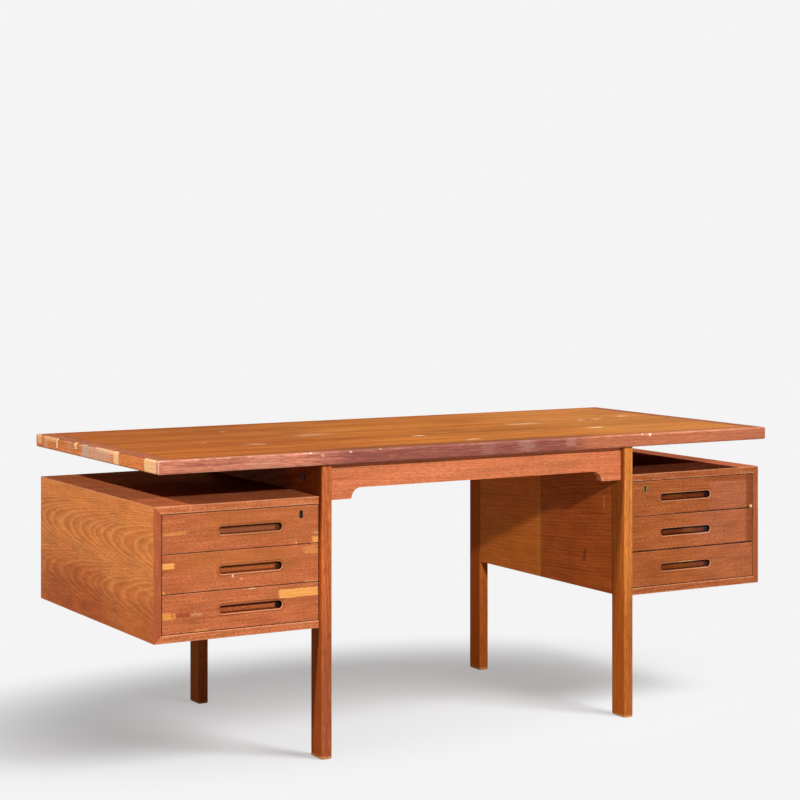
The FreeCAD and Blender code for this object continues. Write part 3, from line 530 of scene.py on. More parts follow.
def wear_and_shade_pull(tree, place, colour, pull):
    """Paint shade into the inside and the outline of a pull, and rub its rim pale."""
    edge = add(tree, "ShaderNodeGroup", {
        "Vector": place, "Centre": pull["centre"], "Straight": PULL_STRAIGHT,
        "Radius": PULL_RADIUS}, node_tree=slot_distance)
    within = add(tree, "ShaderNodeMapRange", {
        "Value": edge, "From Min": WITHIN[0], "From Max": WITHIN[1]})
    # The inside is darkened, partly its oil and partly painted shade.
    colour = lay(tree, colour, within, 1.0, pull["inside"], "MULTIPLY")
    spot = add(tree, "ShaderNodeVectorMath", {0: place, 1: pull["centre"]}, operation="SUBTRACT")
    spot = add(tree, "ShaderNodeSeparateXYZ", {0: spot}).node.outputs
    recess_shade = add(tree, "ShaderNodeMapRange", {
        "Value": spot["X"], "From Min": PULL_STRAIGHT - FAR_END[0],
        "From Max": PULL_STRAIGHT - FAR_END[1]})
    # Painted shade in the recess: under the upper edge, along the lower edge and at the far end.
    for heights, most in ((ROOF, ROOF_SHADE), (SILL, SILL_SHADE)):
        band = add(tree, "ShaderNodeMapRange", {
            "Value": spot["Z"], "From Min": heights[0], "From Max": heights[1], "To Max": most})
        recess_shade = add(tree, "ShaderNodeMath", {0: recess_shade, 1: band}, operation="MAXIMUM")
    colour = lay(tree, colour, recess_shade, within, DIRT_AND_SHADE)
    # A thin line of painted shade round the slot.
    outline = add(tree, "ShaderNodeMath", {0: edge, 1: OUTLINE_AT}, operation="SUBTRACT")
    outline = add(tree, "ShaderNodeMath", {0: outline}, operation="ABSOLUTE")
    outline = add(tree, "ShaderNodeMapRange", {
        "Value": outline, "From Min": OUTLINE[0], "From Max": OUTLINE[1]})
    colour = lay(tree, colour, outline, pull["outline"], DIRT_AND_SHADE)
    rim = add(tree, "ShaderNodeMapRange", {"Value": edge, "From Min": RIM[0], "From Max": RIM[1]})
    rim = add(tree, "ShaderNodeMath", {0: rim, 1: within}, operation="SUBTRACT", use_clamp=True)
    rubbed = add(tree, "ShaderNodeMapRange", {
        "Value": spot["Z"], "From Min": LOWER_RIM[0], "From Max": LOWER_RIM[1],
        "To Min": pull["upper"], "To Max": pull["rubbed"]})
    return lay(tree, colour, rim, rubbed, BARE_ARRIS)


print("pulls are", 2 * (PULL_STRAIGHT + PULL_RADIUS) / MM, "mm long")

# %% [markdown]
# Now the finish itself. Oiled teak has no film of varnish on it: the oil lies in the wood, so the
# surface is satin and the grain can be felt. The tree reads the board's place, finds its figure,
# colours it between three tones, lays wear and patches over that, and sends the result to one
# Principled shader with a slight bump from the streaks and pores. Rings, lines, streaks, pores,
# mottle and specks say how strongly each of these shows, from 0 to 1. Coarse says how many times
# larger the figure is drawn along the grain and across it, and fine adds pores of the usual size.

# %% Oiled teak
GRAIN_ORDER = {"X": ("X", "Y", "Z"), "Y": ("Y", "X", "Z"), "Z": ("Z", "X", "Y")}
BARE_CHIP = "#e8bf98"
TONE_STOPS = (0.05, 0.5, 0.95)
STREAK_RELIEF = 0.25
GRAIN_FELT = 0.25
GRAIN_DEPTH = 0.2 * MM
TEAK_IOR = 1.48


def dress(node, material):
    """Give a CAD piece its finish."""
    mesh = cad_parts[node].data
    mesh.materials.clear()
    mesh.materials.append(material)


def along_grain(tree, point, grain):
    """The point with its axes in another order, the one along the grain first."""
    parts = add(tree, "ShaderNodeSeparateXYZ", {0: point}).node.outputs
    return add(tree, "ShaderNodeCombineXYZ", {
        index: parts[axis] for index, axis in enumerate(GRAIN_ORDER[grain])})


def oil(node, grain, tones, pith, lean=(0, 0), ring=5.0, wander=14.0, rings=0.25, lines=0.0,
        streaks=0.38, pores=0.65, mottle=0.18, specks=0.2, coarse=(1, 1), fine=0.0, arris=3.0,
        worn=0.5, pale=BARE_ARRIS, patches=(), pull=None, rough=(0.50, 0.66), shine=0.08,
        field=None, base=None):
    """Finish one board in oiled teak. Pith, ring, wander and arris are in millimetres."""
    low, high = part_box(node)
    material, tree, place = new_finish("oiled_teak_" + node)
    centred = add(tree, "ShaderNodeVectorMath", {0: place, 1: base or (low + high) / 2},
                  operation="SUBTRACT")
    grained = along_grain(tree, centred, grain)
    if field is None:
        count = add(tree, "ShaderNodeGroup", {
            "Vector": grained, "Pith": metres(0, *pith), "Lean": (0, *lean),
            "Ring": ring * MM, "Wander": wander * MM}, node_tree=log_field)
    else:
        count = field(tree, place)
    across = add(tree, "ShaderNodeVectorMath", {
        0: grained, 1: (1 / coarse[0], 1 / coarse[1], 1 / coarse[1])}, operation="MULTIPLY")
    look = add(tree, "ShaderNodeGroup", {"Vector": across, "Field": count}, node_tree=teak_figure)
    look = look.node.outputs
    tone = add(tree, "ShaderNodeMath", {
        0: look["Rings"], 1: rings, 2: 0.5 - (rings + streaks) / 2}, operation="MULTIPLY_ADD")
    tone = add(tree, "ShaderNodeMath", {0: look["Streaks"], 1: streaks, 2: tone},
               operation="MULTIPLY_ADD")
    ramp = add(tree, "ShaderNodeValToRGB", {0: tone})
    stops = ramp.node.color_ramp.elements
    stops[0].position, stops[0].color = TONE_STOPS[0], linear(tones[0])
    stops[1].position, stops[1].color = TONE_STOPS[2], linear(tones[2])
    stops.new(TONE_STOPS[1]).color = linear(tones[1])
    colour = lay(tree, ramp, look["Lines"], lines, tones[0])
    colour = lay(tree, colour, look["Pores"], pores, tones[2])
    if fine:
        near = add(tree, "ShaderNodeGroup", {"Vector": grained, "Field": count},
                   node_tree=teak_figure)
        colour = lay(tree, colour, near.node.outputs["Pores"], fine, tones[2])
    shade = add(tree, "ShaderNodeMapRange", {
        "Value": look["Mottle"], "To Min": 1 + mottle, "To Max": 1 - mottle})
    colour = add(tree, "ShaderNodeVectorMath", {0: colour, "Scale": shade}, operation="SCALE")
    colour = lay(tree, colour, look["Specks"], specks, BARE_CHIP)
    if pull:
        colour = wear_and_shade_pull(tree, place, colour, pull)
    bare = add(tree, "ShaderNodeGroup", {
        "Vector": place, "Low": low, "High": high, "Width": arris * MM}, node_tree=worn_arris)
    colour = lay(tree, colour, bare, worn, pale)
    colour = lay_patches(tree, place, colour, patches, grain)
    satin = add(tree, "ShaderNodeMapRange", {
        "Value": tone, "To Min": rough[0], "To Max": rough[1]})
    relief = add(tree, "ShaderNodeMath", {
        0: look["Streaks"], 1: STREAK_RELIEF, 2: look["Pores"]}, operation="MULTIPLY_ADD")
    bump = add(tree, "ShaderNodeBump", {
        "Height": relief, "Strength": GRAIN_FELT, "Distance": GRAIN_DEPTH}, invert=True)
    shader = add(tree, "ShaderNodeBsdfPrincipled", {
        "Base Color": colour, "Roughness": satin, "Normal": bump,
        "IOR": TEAK_IOR, "Specular IOR Level": shine})
    add(tree, "ShaderNodeOutputMaterial", {"Surface": shader})
    dress(node, material)


print("oiled teak ready")

# %% [markdown]
# A patch is measured on the face that shows it, in millimetres. A row gives two corners, across and
# up on an upright face or along and back on a level one, then the colour, the strength, how soft
# the border is and how ragged. Some rows end in a turn in degrees, another way to blend, the grain
# that the border follows, a level of their own, or how deep the patch goes.

# %% Where patches lie
FACE_DEPTH = 4
# The axis that a face looks along, then the two that its corners are measured on: 0 is X.
FACES = {"front": (1, 0, 2), "top": (2, 0, 1), "side": (0, 1, 2)}


def patches_on(face, level, rows):
    """Patches on a face that looks to the front, up or to one side, and lies at this level."""
    out, across, up = FACES[face]
    patches = []
    for a0, b0, a1, b1, colour, strength, soft, ragged, *more in rows:
        mark = {"centre": Vector((0, 0, 0)), "half": Vector((0, 0, 0)), "axis": Vector((0, 0, 0)),
                "colour": colour, "strength": strength, "soft": soft, "ragged": ragged,
                "level": level, "deep": FACE_DEPTH}
        for options in more:
            mark.update(options)
        mark["centre"][out], mark["half"][out] = mark["level"], mark["deep"] * MM
        mark["axis"][out] = 1.0
        for index, start, end in ((across, a0, a1), (up, b0, b1)):
            mark["centre"][index] = (start + end) / 2 * MM
            mark["half"][index] = abs(end - start) / 2 * MM
        patches.append(mark)
    return patches


print("patches are", FACE_DEPTH, "mm deep")

# %% [markdown]
# The desktop is a veneered panel with solid lips. The veneer's leaves run the length of the desk,
# straight and golden, darker at the left and along the front, and lighter at the right. It has the
# pale scratches that a writing desk gathers. Its figure is drawn coarser than on the other boards,
# because the top is seen at a low angle, which squeezes finer lines away. Pores of the usual size
# lie over it for the views from above.

# %% Desktop panel
TOP_TONES = ("#c88030", "#b2631e", "#7a3c0c")
SCRATCH = "#f0d2ac"
FRONT_STRIP = "#5e2a18"
top_patches = patches_on("top", cad_high.z, [
    (-900, -400, -520, 400, "#8a4208", 0.6, 420, 120),
    (-100, -340, 420, 280, "#cc7c2c", 0.2, 250, 120),
    (560, -400, 900, 400, "#d6914a", 0.3, 320, 120),
    (-842, -395, -835, 395, FRONT_STRIP, 0.75, 2, 2),
    (-890, -395, 890, -352, FRONT_STRIP, 0.35, 14, 24),
    (-430, -395, 330, -344, FRONT_STRIP, 0.6, 26, 60),
    (-516, -142, -508, -138, SCRATCH, 0.4, 24, 26, {"angle": 50}),
    (-609, -48, -604, -43, SCRATCH, 0.5, 5, 8, {"angle": 40}),
    (-444, 200, -439, 206, SCRATCH, 0.6, 5, 8, {"angle": -35}),
    (-300, 6, -262, 20, SCRATCH, 0.24, 38, 40),
    (-60, -147, -44, -143, SCRATCH, 0.75, 11, 18),
    (8, -296, 36, -292, SCRATCH, 0.65, 11, 18),
    (338, 12, 392, 16, SCRATCH, 0.4, 30, 36),
    (570, 28, 582, 38, SCRATCH, 0.8, 8, 12),
    (630, 42, 640, 45, SCRATCH, 0.75, 13, 16),
    (746, 86, 760, 90, SCRATCH, 0.8, 14, 18),
    (466, -178, 490, -174, SCRATCH, 0.88, 14, 20),
    (122, -46, 190, -44, SCRATCH, 0.30, 3, 2, {"angle": 70}),
])
oil("desktop_panel", "X", TOP_TONES, pith=(520, -60), lean=(0.03, 0.0), ring=9.0, wander=40.0,
    rings=0.3, streaks=0.75, pores=0.8, coarse=(24, 7), fine=0.35, worn=0.0,
    patches=top_patches, rough=(0.58, 0.72), shine=0.03)
print("desktop:", len(top_patches), "patches")

# %% [markdown]
# The lips are solid teak, redder than the veneer. The front one has been handled most: it is rosy
# at the left, nearly purple in the middle, and pale along its arrises, with small bare chips.

# %% Front and back lip
LIP_TONES = ("#d4967a", "#c4785c", "#8a4838")
LIP_ARRIS = "#e6b49c"
RIGHT_CHIP, LEFT_CHIP = "#f6e6d2", "#f0dcc8"
front_patches = patches_on("front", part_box("desktop_front_lip")[0].y, [
    (-400, 690, 250, 740, "#78403a", 0.9, 120, 60),
    (300, 690, 900, 740, "#b3643a", 0.60, 70, 40),
    (-830, 714, -690, 717, "#7a4038", 0.55, 3, 6),
    (-646, 704, -585, 724, "#c08870", 0.35, 10, 26),
    (297, 699, 315, 729, "#a8664f", 0.75, 2, 4),
    (237, 712, 261, 728, "#b47e70", 0.55, 4, 8),
    (98, 708, 135, 728, "#b28276", 0.45, 8, 16),
    (-12, 704, 16, 728, "#a8766c", 0.35, 8, 16),
    (494, 724, 499, 731, RIGHT_CHIP, 0.85, 1, 3),
    (470, 728, 475, 731, RIGHT_CHIP, 0.7, 1, 3),
    (-494, 727, -488, 731, LEFT_CHIP, 0.7, 1, 3),
    (-388, 725, -382, 728, LEFT_CHIP, 0.5, 1, 3),
    (-463, 720, -459, 724, LEFT_CHIP, 0.4, 1, 3),
    (-306, 728, -301, 731, LEFT_CHIP, 0.5, 1, 3),
])
oil("desktop_front_lip", "X", LIP_TONES, pith=(90, 240), lean=(0.01, 0.02), ring=4.0,
    coarse=(3, 1), arris=4.0, worn=0.8, pale=LIP_ARRIS, patches=front_patches)
oil("desktop_back_lip", "X", LIP_TONES, pith=(60, -300), lean=(0.0, 0.03), ring=4.0, arris=7.0)
print("front lip:", len(front_patches), "patches")

# %% [markdown]
# The end lips are dark on top. The left one has lost its finish in places, which leaves a patchwork
# of pale and grey, and was pieced out with a paler block at the front corner.

# %% End lips
END_TONES = ("#e49c60", "#d27a40", "#a04e26")
TOP_BAND = "#70341a"
end_patches = {}
for side in ("left", "right"):
    low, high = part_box("desktop_%s_lip" % side)
    end_patches[side] = patches_on("top", cad_high.z, [
        (low.x / MM, -400, high.x / MM, 400, TOP_BAND, 0.85, 1.5, 1.5, {"deep": 1.6})])
end_patches["left"] += patches_on("side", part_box("desktop_left_lip")[0].x, [
    (-386, 696, -314, 732, "#e9b984", 0.9, 1.5, 4),
    (-388, 696, -385, 732, "#5a2c1c", 0.8, 1, 1),
    (-160, 700, -131, 732, "#f0c592", 0.75, 3, 7),
    (-128, 722, -20, 734, "#eec48e", 0.55, 3, 9),
    (-108, 702, 66, 724, "#c3a088", 0.62, 9, 22),
    (36, 706, 74, 730, "#b89c90", 0.55, 4, 8),
    (108, 716, 122, 730, "#f2d2a4", 0.75, 2, 5),
    (150, 704, 172, 728, "#b48a7c", 0.5, 4, 8),
    (236, 708, 243, 730, "#f6dcb4", 0.85, 2, 3),
    (250, 722, 330, 734, "#eec08a", 0.5, 3, 10),
    (306, 700, 330, 730, "#c69a78", 0.5, 5, 9),
    (352, 710, 384, 734, "#ecbc8c", 0.6, 4, 9),
])
for side, pith, lean, worn in (("left", (40, 160), (0.02, 0.0), 0.5),
                               ("right", (-30, 190), (0.01, 0.02), 0.3)):
    oil("desktop_%s_lip" % side, "Y", END_TONES, pith=pith, lean=lean, ring=4.0, arris=6.0,
        worn=worn, patches=end_patches[side], shine=0.03)
print("left lip:", len(end_patches["left"]), "patches")

# %% [markdown]
# The legs and aprons are solid too, with the grain along them. Each leg comes from another part of
# the board, so each gets its own pith and its own tones: the left front leg is redder, the right
# front one more golden. Their left faces carry painted shading, darker on the front legs and more
# orange on the back ones. The legs are darker towards the feet, with bare wood at the very bottom.

# %% Legs and aprons
RED_LEG = ("#d4804a", "#bc6434", "#843a20")
GOLD_LEG = ("#e69a50", "#d07e3a", "#a05824")
BROWN_LEG = ("#e4883e", "#cc692c", "#904216")
LEFT_FOOT, RIGHT_FOOT = "#84402a", "#8c4514"
FOOT_WEAR = "#e0aa68"
FOOT_HEIGHT, WEAR_HEIGHT = 160, 2
ALL_ROUND = 100
APRON_TONES = ("#de9066", "#d27a4e", "#aa5634")
for leg, tones, pith, left_face_shading, foot_tone in (
        ("front_left_leg", RED_LEG, (60, 130), "#8e3d00", LEFT_FOOT),
        ("front_right_leg", GOLD_LEG, (-70, 90), "#94420a", RIGHT_FOOT),
        ("back_left_leg", BROWN_LEG, (40, -120), "#dc741c", LEFT_FOOT),
        ("back_right_leg", BROWN_LEG, (-90, 60), "#c65a14", RIGHT_FOOT)):
    low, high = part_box(leg)
    middle = (low + high) / 2
    left, right = middle.x / MM - ALL_ROUND, middle.x / MM + ALL_ROUND
    leg_patches = patches_on("front", middle.y, [
        (left, -FOOT_HEIGHT, right, FOOT_HEIGHT, foot_tone, 0.7, 320, 40, {"deep": ALL_ROUND})])
    # Painted shading on the leg's left face, standing in for how the light falls on it.
    leg_patches += patches_on("side", low.x, [
        (low.y / MM + 2, -10, high.y / MM + 10, 740, left_face_shading, 0.85, 2, 2)])
    leg_patches += patches_on("front", middle.y, [
        (left, -WEAR_HEIGHT, right, WEAR_HEIGHT, FOOT_WEAR, 0.7, 6, 4, {"deep": ALL_ROUND})])
    oil(leg, "Z", tones, pith=pith, lean=(0.012, 0.02), ring=4.5, coarse=(3, 1), worn=0.15,
        patches=leg_patches, shine=0.04)
for apron, pith in (("front_apron", (80, 210)), ("back_apron", (70, -180))):
    oil(apron, "X", APRON_TONES, pith=pith, lean=(0.02, 0.03), ring=4.0, coarse=(2, 1), worn=0.3)
print("legs and aprons: 6 boards")

# %% [markdown]
# The outer side of each pedestal is its best face: flat-sawn veneer with two flames, one over the
# other, that open towards the front. A flame's lines are where the saw ran along a ring. In a log
# that tapers they come out as parabolas, so the field here is the distance along the board plus
# the square of the height above the flame's middle. A lipping covers the veneer's front edge.

# %% Flamed veneer on the pedestal sides
SIDE_TONES = ("#e09c5c", "#ca7638", "#a24e20")
LIPPING = {"left": "#9c4e30", "right": "#96502f"}
LOWER_FLAME, UPPER_FLAME = 403 * MM, 526 * MM
FLAME_SPACING = 60 * MM
FLAME_ROUND = 12 * MM
FLAME_MEET = 40 * MM
FLAME_DRIFT, FLAME_DRIFT_SIZE = metres(0, 50, 12), 111.1


def flame(tree, place, height):
    """A field whose level lines are nested flames that point to the back."""
    parts = add(tree, "ShaderNodeSeparateXYZ", {0: place}).node.outputs
    rise = add(tree, "ShaderNodeMath", {0: parts["Z"], 1: height}, operation="SUBTRACT")
    arch = add(tree, "ShaderNodeMath", {0: rise, 1: rise}, operation="MULTIPLY")
    return add(tree, "ShaderNodeMath", {0: arch, 1: 1 / FLAME_ROUND, 2: parts["Y"]},
               operation="MULTIPLY_ADD")


def flamed(tree, place):
    """Two flames, one over the other, in rings."""
    drift = wobble(tree, place, 1 / (FLAME_DRIFT_SIZE * MM))
    drift = add(tree, "ShaderNodeVectorMath", {0: drift, 1: FLAME_DRIFT}, operation="MULTIPLY")
    warped = add(tree, "ShaderNodeVectorMath", {0: place, 1: drift}, operation="ADD")
    lower = flame(tree, warped, LOWER_FLAME)
    upper = flame(tree, warped, UPPER_FLAME)
    both = add(tree, "ShaderNodeMath", {0: lower, 1: upper, 2: FLAME_MEET}, operation="SMOOTH_MIN")
    return add(tree, "ShaderNodeMath", {0: both, 1: FLAME_SPACING}, operation="DIVIDE")


for side in ("left", "right"):
    node = side + "_pedestal_outer_side"
    low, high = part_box(node)
    side_patches = patches_on("side", low.x if side == "left" else high.x, [
        (-500, 250, 500, 335, "#d4b09c", 0.8, 130, 60, {"blend": "MULTIPLY"}),
        (-40, 300, 260, 410, "#d8b4a0", 0.6, 70, 50, {"blend": "MULTIPLY"}),
        (-400, 455, -80, 560, "#22160a", 0.6, 80, 60, {"blend": "ADD"}),
        (-243, 493, -237, 537, "#b0541c", 0.65, 2, 3),
    ])
    side_patches += patches_on("front", low.y, [
        (low.x / MM - 5, 300, high.x / MM + 5, 640, LIPPING[side], 1.0, 0.3, 0.4, {"grain": "Z"})])
    oil(node, "Y", SIDE_TONES, pith=(0, 0), rings=0.24, lines=0.8, streaks=0.2, pores=0.45,
        mottle=0.2, arris=4.0, worn=0.3, field=flamed, patches=side_patches)
print("flamed sides: 2")

# %% [markdown]
# The rest of the case is plainer: the back, and the top and bottom boards, whose front edges frame
# the drawers. The upper face of each of these boards has a painted shadow, as the desktop casts on
# the top board, over all but a strip at its outer end. On the left that strip has a painted shade
# of its own, and on the right it has painted light.

# %% Case boards
EDGE_TONES = {"left": ("#d68c62", "#c57146", "#964a2a"),
              "right": ("#c57c54", "#b06038", "#824020")}
# Painted shadow under the desktop, then painted shade on the left strip and painted light on the
# right one.
SHELF_PAINTED_SHADOW = {"left": "#dccfca", "right": "#a197a8"}
SHELF_STRIP_PAINTED_LIGHTING = {"left": ("#cec8c4", "MULTIPLY"), "right": ("#744436", "ADD")}
SHELF_FRONT, SHELF_BACK = -358, 400
STRIP_WIDTH = 68
BACK_TONES = ("#cf8a52", "#b36a38", "#8f5028")
for side, sign in (("left", -1), ("right", 1)):
    strip_lighting, blend = SHELF_STRIP_PAINTED_LIGHTING[side]
    for part, pith in (("top", (30, 160)), ("bottom", (60, -140))):
        node = "%s_pedestal_%s" % (side, part)
        low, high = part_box(node)
        inner, outer = sorted((low.x / MM, high.x / MM), key=abs)
        strip = outer - sign * STRIP_WIDTH
        shelf_shadow_patches = patches_on("top", high.z, [
            (inner, SHELF_FRONT, strip, SHELF_BACK, SHELF_PAINTED_SHADOW[side], 1.0, 3, 3,
             {"deep": 2, "blend": "MULTIPLY"}),
            (strip, SHELF_FRONT, outer, SHELF_BACK, strip_lighting, 1.0, 3, 3,
             {"deep": 2, "blend": blend}),
        ])
        oil(node, "X", EDGE_TONES[side], pith=pith, lean=(0.02, 0.02), ring=4.5, coarse=(1, 1.6),
            arris=5.0, worn=0.6, shine=0.0, patches=shelf_shadow_patches)
    oil(side + "_pedestal_back", "X", BACK_TONES, pith=(120, 60), lean=(0.05, 0.0), arris=2.0,
        worn=0.2)
print("case boards: 6 pieces")

# %% [markdown]
# The panel on the knee side is laid from two leaves of veneer, a golden one behind and a redder one
# in front, with an upright seam between them. A knock and a pale nick show on it.

# %% Inner panels
PANEL_TONES = ("#da7a32", "#c46024", "#944014")
SEAM_Y = 9
for side in ("left", "right"):
    node = side + "_inner_panel"
    low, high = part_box(node)
    panel_patches = patches_on("side", low.x if side == "right" else high.x, [
        (SEAM_Y, 300, 330, 710, "#955a1c", 1.0, 1, 0, {"blend": "ADD"}),
        (SEAM_Y, 300, SEAM_Y + 16, 520, "#e09838", 0.28, 9, 3, {"grain": "Z"}),
        (SEAM_Y - 1.2, 300, SEAM_Y + 1.2, 710, "#6b3414", 0.6, 1, 0),
        (-201, 381, -194, 414, "#4a2616", 0.75, 2, 6, {"angle": -12}),
        (-286, 530, -283, 562, "#e2ad7c", 0.7, 1, 2),
    ])
    oil(node, "Y", PANEL_TONES, pith=(130, 190), lean=(0.06, 0.05), ring=7.0, wander=30.0,
        streaks=0.3, pores=0.35, arris=2.0, worn=0.2, patches=panel_patches)
print("inner panels:", 2 * len(panel_patches), "patches")

# %% [markdown]
# The drawer fronts have marks of their own. Slips of yellow sapwood show where chips were mended.
# The right-hand fronts have painted shadows where the case's edges would shade them, dirt along the
# gaps between them, and a pale pool of painted light. A little light wood shows on the floor of
# their pulls.

# %% Marks on the drawer fronts
SAPWOOD = "#e8a254"
# A pale pool of painted light on the right-hand fronts.
PAINTED_LIGHT_POOL = "#342a2c"
# Painted shadow of the case's side and top along the edges of the right-hand fronts.
CASE_PAINTED_SHADOW = "#7a3a1c"
PALE_NICK = "#ecd6bc"
PULL_DEPTH = 13 * MM
drawer_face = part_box("left_top_drawer_front")[0].y
top_edge, middle_edge = (
    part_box("right_%s_drawer_front" % row)[0].z / MM for row in ("top", "middle"))
as_painted_light = {"blend": "ADD"}
on_pull_floor = {"level": drawer_face + PULL_DEPTH}
drawer_rows = {
    "left_top": [
        (-740, 558, -520, 605, "#a86424", 0.3, 40, 40),
        (-858, 557, -795, 562, "#d08c46", 0.65, 2, 7, {"angle": 3}),
        (-473, 514, -456, 528, SAPWOOD, 0.8, 2, 5),
        (-470, 536, -456, 539, "#e8b070", 0.6, 1, 3),
        (-517, 516, -514, 518, "#f0d0b0", 0.7, 1, 3),
    ],
    "left_middle": [
        (-800, 480, -560, 512, "#a4601f", 0.32, 30, 40),
        (-860, 480, -828, 492, SAPWOOD, 0.95, 1, 2),
        (-493, 491, -460, 505, SAPWOOD, 0.42, 3, 10),
        (-860, 422, -851, 429, SAPWOOD, 0.7, 2, 4),
        (-682, 449, -679, 455, PALE_NICK, 0.7, 1, 3, {"angle": 30}),
        (-659, 442, -657, 445, PALE_NICK, 0.7, 1, 3, {"angle": -20}),
        (-490, 422, -456, 425, "#e0a060", 0.6, 1, 3),
    ],
    "left_bottom": [
        (-560, 390, -456, 409, SAPWOOD, 0.95, 1, 6),
        (-860, 365, -835, 379, "#dc9044", 0.92, 2, 4),
        (-829, 366, -825, 379, "#e09a50", 0.7, 1, 2),
        (-823, 367, -787, 376, "#8e3a20", 0.72, 1, 3),
        (-787, 369, -761, 373, "#dca070", 0.45, 3, 8),
        (-775, 331, -743, 335, "#e09a48", 0.6, 2, 5),
        (-640, 418, -622, 421, "#e6bc94", 0.6, 1, 5),
    ],
    "right_top": [
        (590, 554, 632, 562, "#8a5424", 0.3, 4, 24, on_pull_floor),
        (722, 515, 838, 586, PAINTED_LIGHT_POOL, 0.9, 16, 14, as_painted_light),
        (838, 510, 862, 610, CASE_PAINTED_SHADOW, 0.8, 3, 2),
        (600, top_edge, 862, top_edge + 2, DIRT_AND_SHADE, 0.75, 1, 1),
        # Painted shadow of the case's top along the top of this front.
        (700, 590, 862, 610, "#84401f", 0.55, 3, 3),
        (848, 514, 857, 521, "#f4cf8a", 0.95, 1, 3),
    ],
    "right_middle": [
        (640, 463, 664, 470, "#9a6428", 0.4, 4, 16, on_pull_floor),
        (690, 424, 838, 511, PAINTED_LIGHT_POOL, 0.7, 60, 30, as_painted_light),
        (839, 420, 862, 515, CASE_PAINTED_SHADOW, 0.75, 4, 2),
        (450, middle_edge, 862, middle_edge + 2, DIRT_AND_SHADE, 0.85, 1, 1),
    ],
    "right_bottom": [
        (500, 332, 700, 400, "#8e4a1c", 0.25, 50, 40),
        (612, 384.5, 664, 386.5, "#e4b78c", 0.6, 1, 6),
        (596, 370, 676, 377, "#8c561c", 0.35, 4, 24, on_pull_floor),
        (700, 332, 858, 420, PAINTED_LIGHT_POOL, 0.5, 60, 30, as_painted_light),
    ],
}
print("drawer fronts:", sum(len(rows) for rows in drawer_rows.values()), "patches")

# %% [markdown]
# The three fronts of a pedestal were cut from one board, so their figure runs on from one to the
# next: all three take it from the middle of the pedestal. The right-hand ones are browner. The
# pulls are the darkest places on the desk, and their rims among the palest.

# %% Drawer fronts
FRONT_TONES = {"left": ("#cc8152", "#bb673d", "#8e4225"),
               "right": ("#c07648", "#ae5e32", "#763616")}
# Darker insides of the pulls: partly oil, partly painted shade.
PULL_INSIDE_OIL_AND_SHADE = {"left": ("#eedccc", "#c7c0ee"), "right": ("#b0957f", "#b0957f")}
# Rubbed rims, and the strength of the painted shade line round each pull.
PULL_WEAR_AND_SHADE = {"left": {"rubbed": 0.5, "upper": 0.1, "outline": 0.45},
             "right": {"rubbed": 0.75, "upper": 0.55, "outline": 0.2}}
PULL_SHIFT = 23 * MM
for side, sign in (("left", -1), ("right", 1)):
    case_low, case_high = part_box(side + "_middle_drawer_front")
    for row in ("top", "middle", "bottom"):
        node = "%s_%s_drawer_front" % (side, row)
        low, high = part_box(node)
        pull = {"centre": (low + high) / 2 - Vector((sign * PULL_SHIFT, 0, 0)),
                "inside": PULL_INSIDE_OIL_AND_SHADE[side][row == "top"], **PULL_WEAR_AND_SHADE[side]}
        oil(node, "X", FRONT_TONES[side], pith=(90, 170 * sign), lean=(0.03, 0.015), ring=4.0,
            rings=0.15, streaks=0.4, arris=2.5, worn=0.35, pull=pull,
            patches=patches_on("front", drawer_face, drawer_rows["%s_%s" % (side, row)]),
            base=(case_low + case_high) / 2)
print("drawer fronts: 6")

# %% [markdown]
# Inside, the drawers are beech with plywood bottoms, as cabinet makers of the time built them, and
# the runners and cleats are beech too. Beech is pale and pinkish, and its mark is a scatter of
# short dark flecks along the grain. Streaks and flecks have a size in millimetres along the grain
# and across it. The flecks are drawn several times as coarse as real ones, so that they show.

# %% Beech and plywood
BEECH = ("#dcb88c", "#c99f70", "#9c6f45")
BEECH_STREAK, BEECH_FLECK = (333.3, 11.11, 11.11), (6.667, 1.111, 1.111)
PLY = ("#d8b98a", "#c8a473", "#a67f52")
PLY_STREAK, PLY_FLECK = (500, 25, 25), (16.67, 1.429, 1.429)
FLECK_DEPTH = 0.1 * MM
WOOD_IOR, WOOD_SHINE = 1.5, 0.35
SMOOTHEST, ROUGHEST = 0.5, 0.62


def pale_wood(name, grain, tones, streak, fleck, strength):
    """A pale, plain wood: soft streaks along the grain with short dark flecks."""
    material, tree, place = new_finish(name)
    grained = along_grain(tree, place, grain)
    long = add(tree, "ShaderNodeVectorMath", {0: grained, 1: per_metre(*streak)},
               operation="MULTIPLY")
    soft = add(tree, "ShaderNodeTexNoise", {"Vector": long, "Scale": 1.0, "Detail": 4.0})
    soft = add(tree, "ShaderNodeMapRange", {"Value": soft, "From Min": 0.3, "From Max": 0.7})
    colour = lay(tree, linear(tones[0]), soft, 1.0, tones[1])
    short = add(tree, "ShaderNodeVectorMath", {0: grained, 1: per_metre(*fleck)},
                operation="MULTIPLY")
    flecks = add(tree, "ShaderNodeTexNoise", {"Vector": short, "Scale": 1.0, "Detail": 1.0})
    flecks = add(tree, "ShaderNodeMapRange", {
        "Value": flecks, "From Min": 0.60, "From Max": 0.68, "To Max": strength})
    colour = lay(tree, colour, flecks, 1.0, tones[2])
    dull = add(tree, "ShaderNodeMapRange", {
        "Value": soft, "To Min": SMOOTHEST, "To Max": ROUGHEST})
    bump = add(tree, "ShaderNodeBump", {
        "Height": flecks, "Strength": 0.2, "Distance": FLECK_DEPTH}, invert=True)
    shader = add(tree, "ShaderNodeBsdfPrincipled", {
        "Base Color": colour, "Roughness": dull, "Normal": bump,
        "IOR": WOOD_IOR, "Specular IOR Level": WOOD_SHINE})
    add(tree, "ShaderNodeOutputMaterial", {"Surface": shader})
    return material


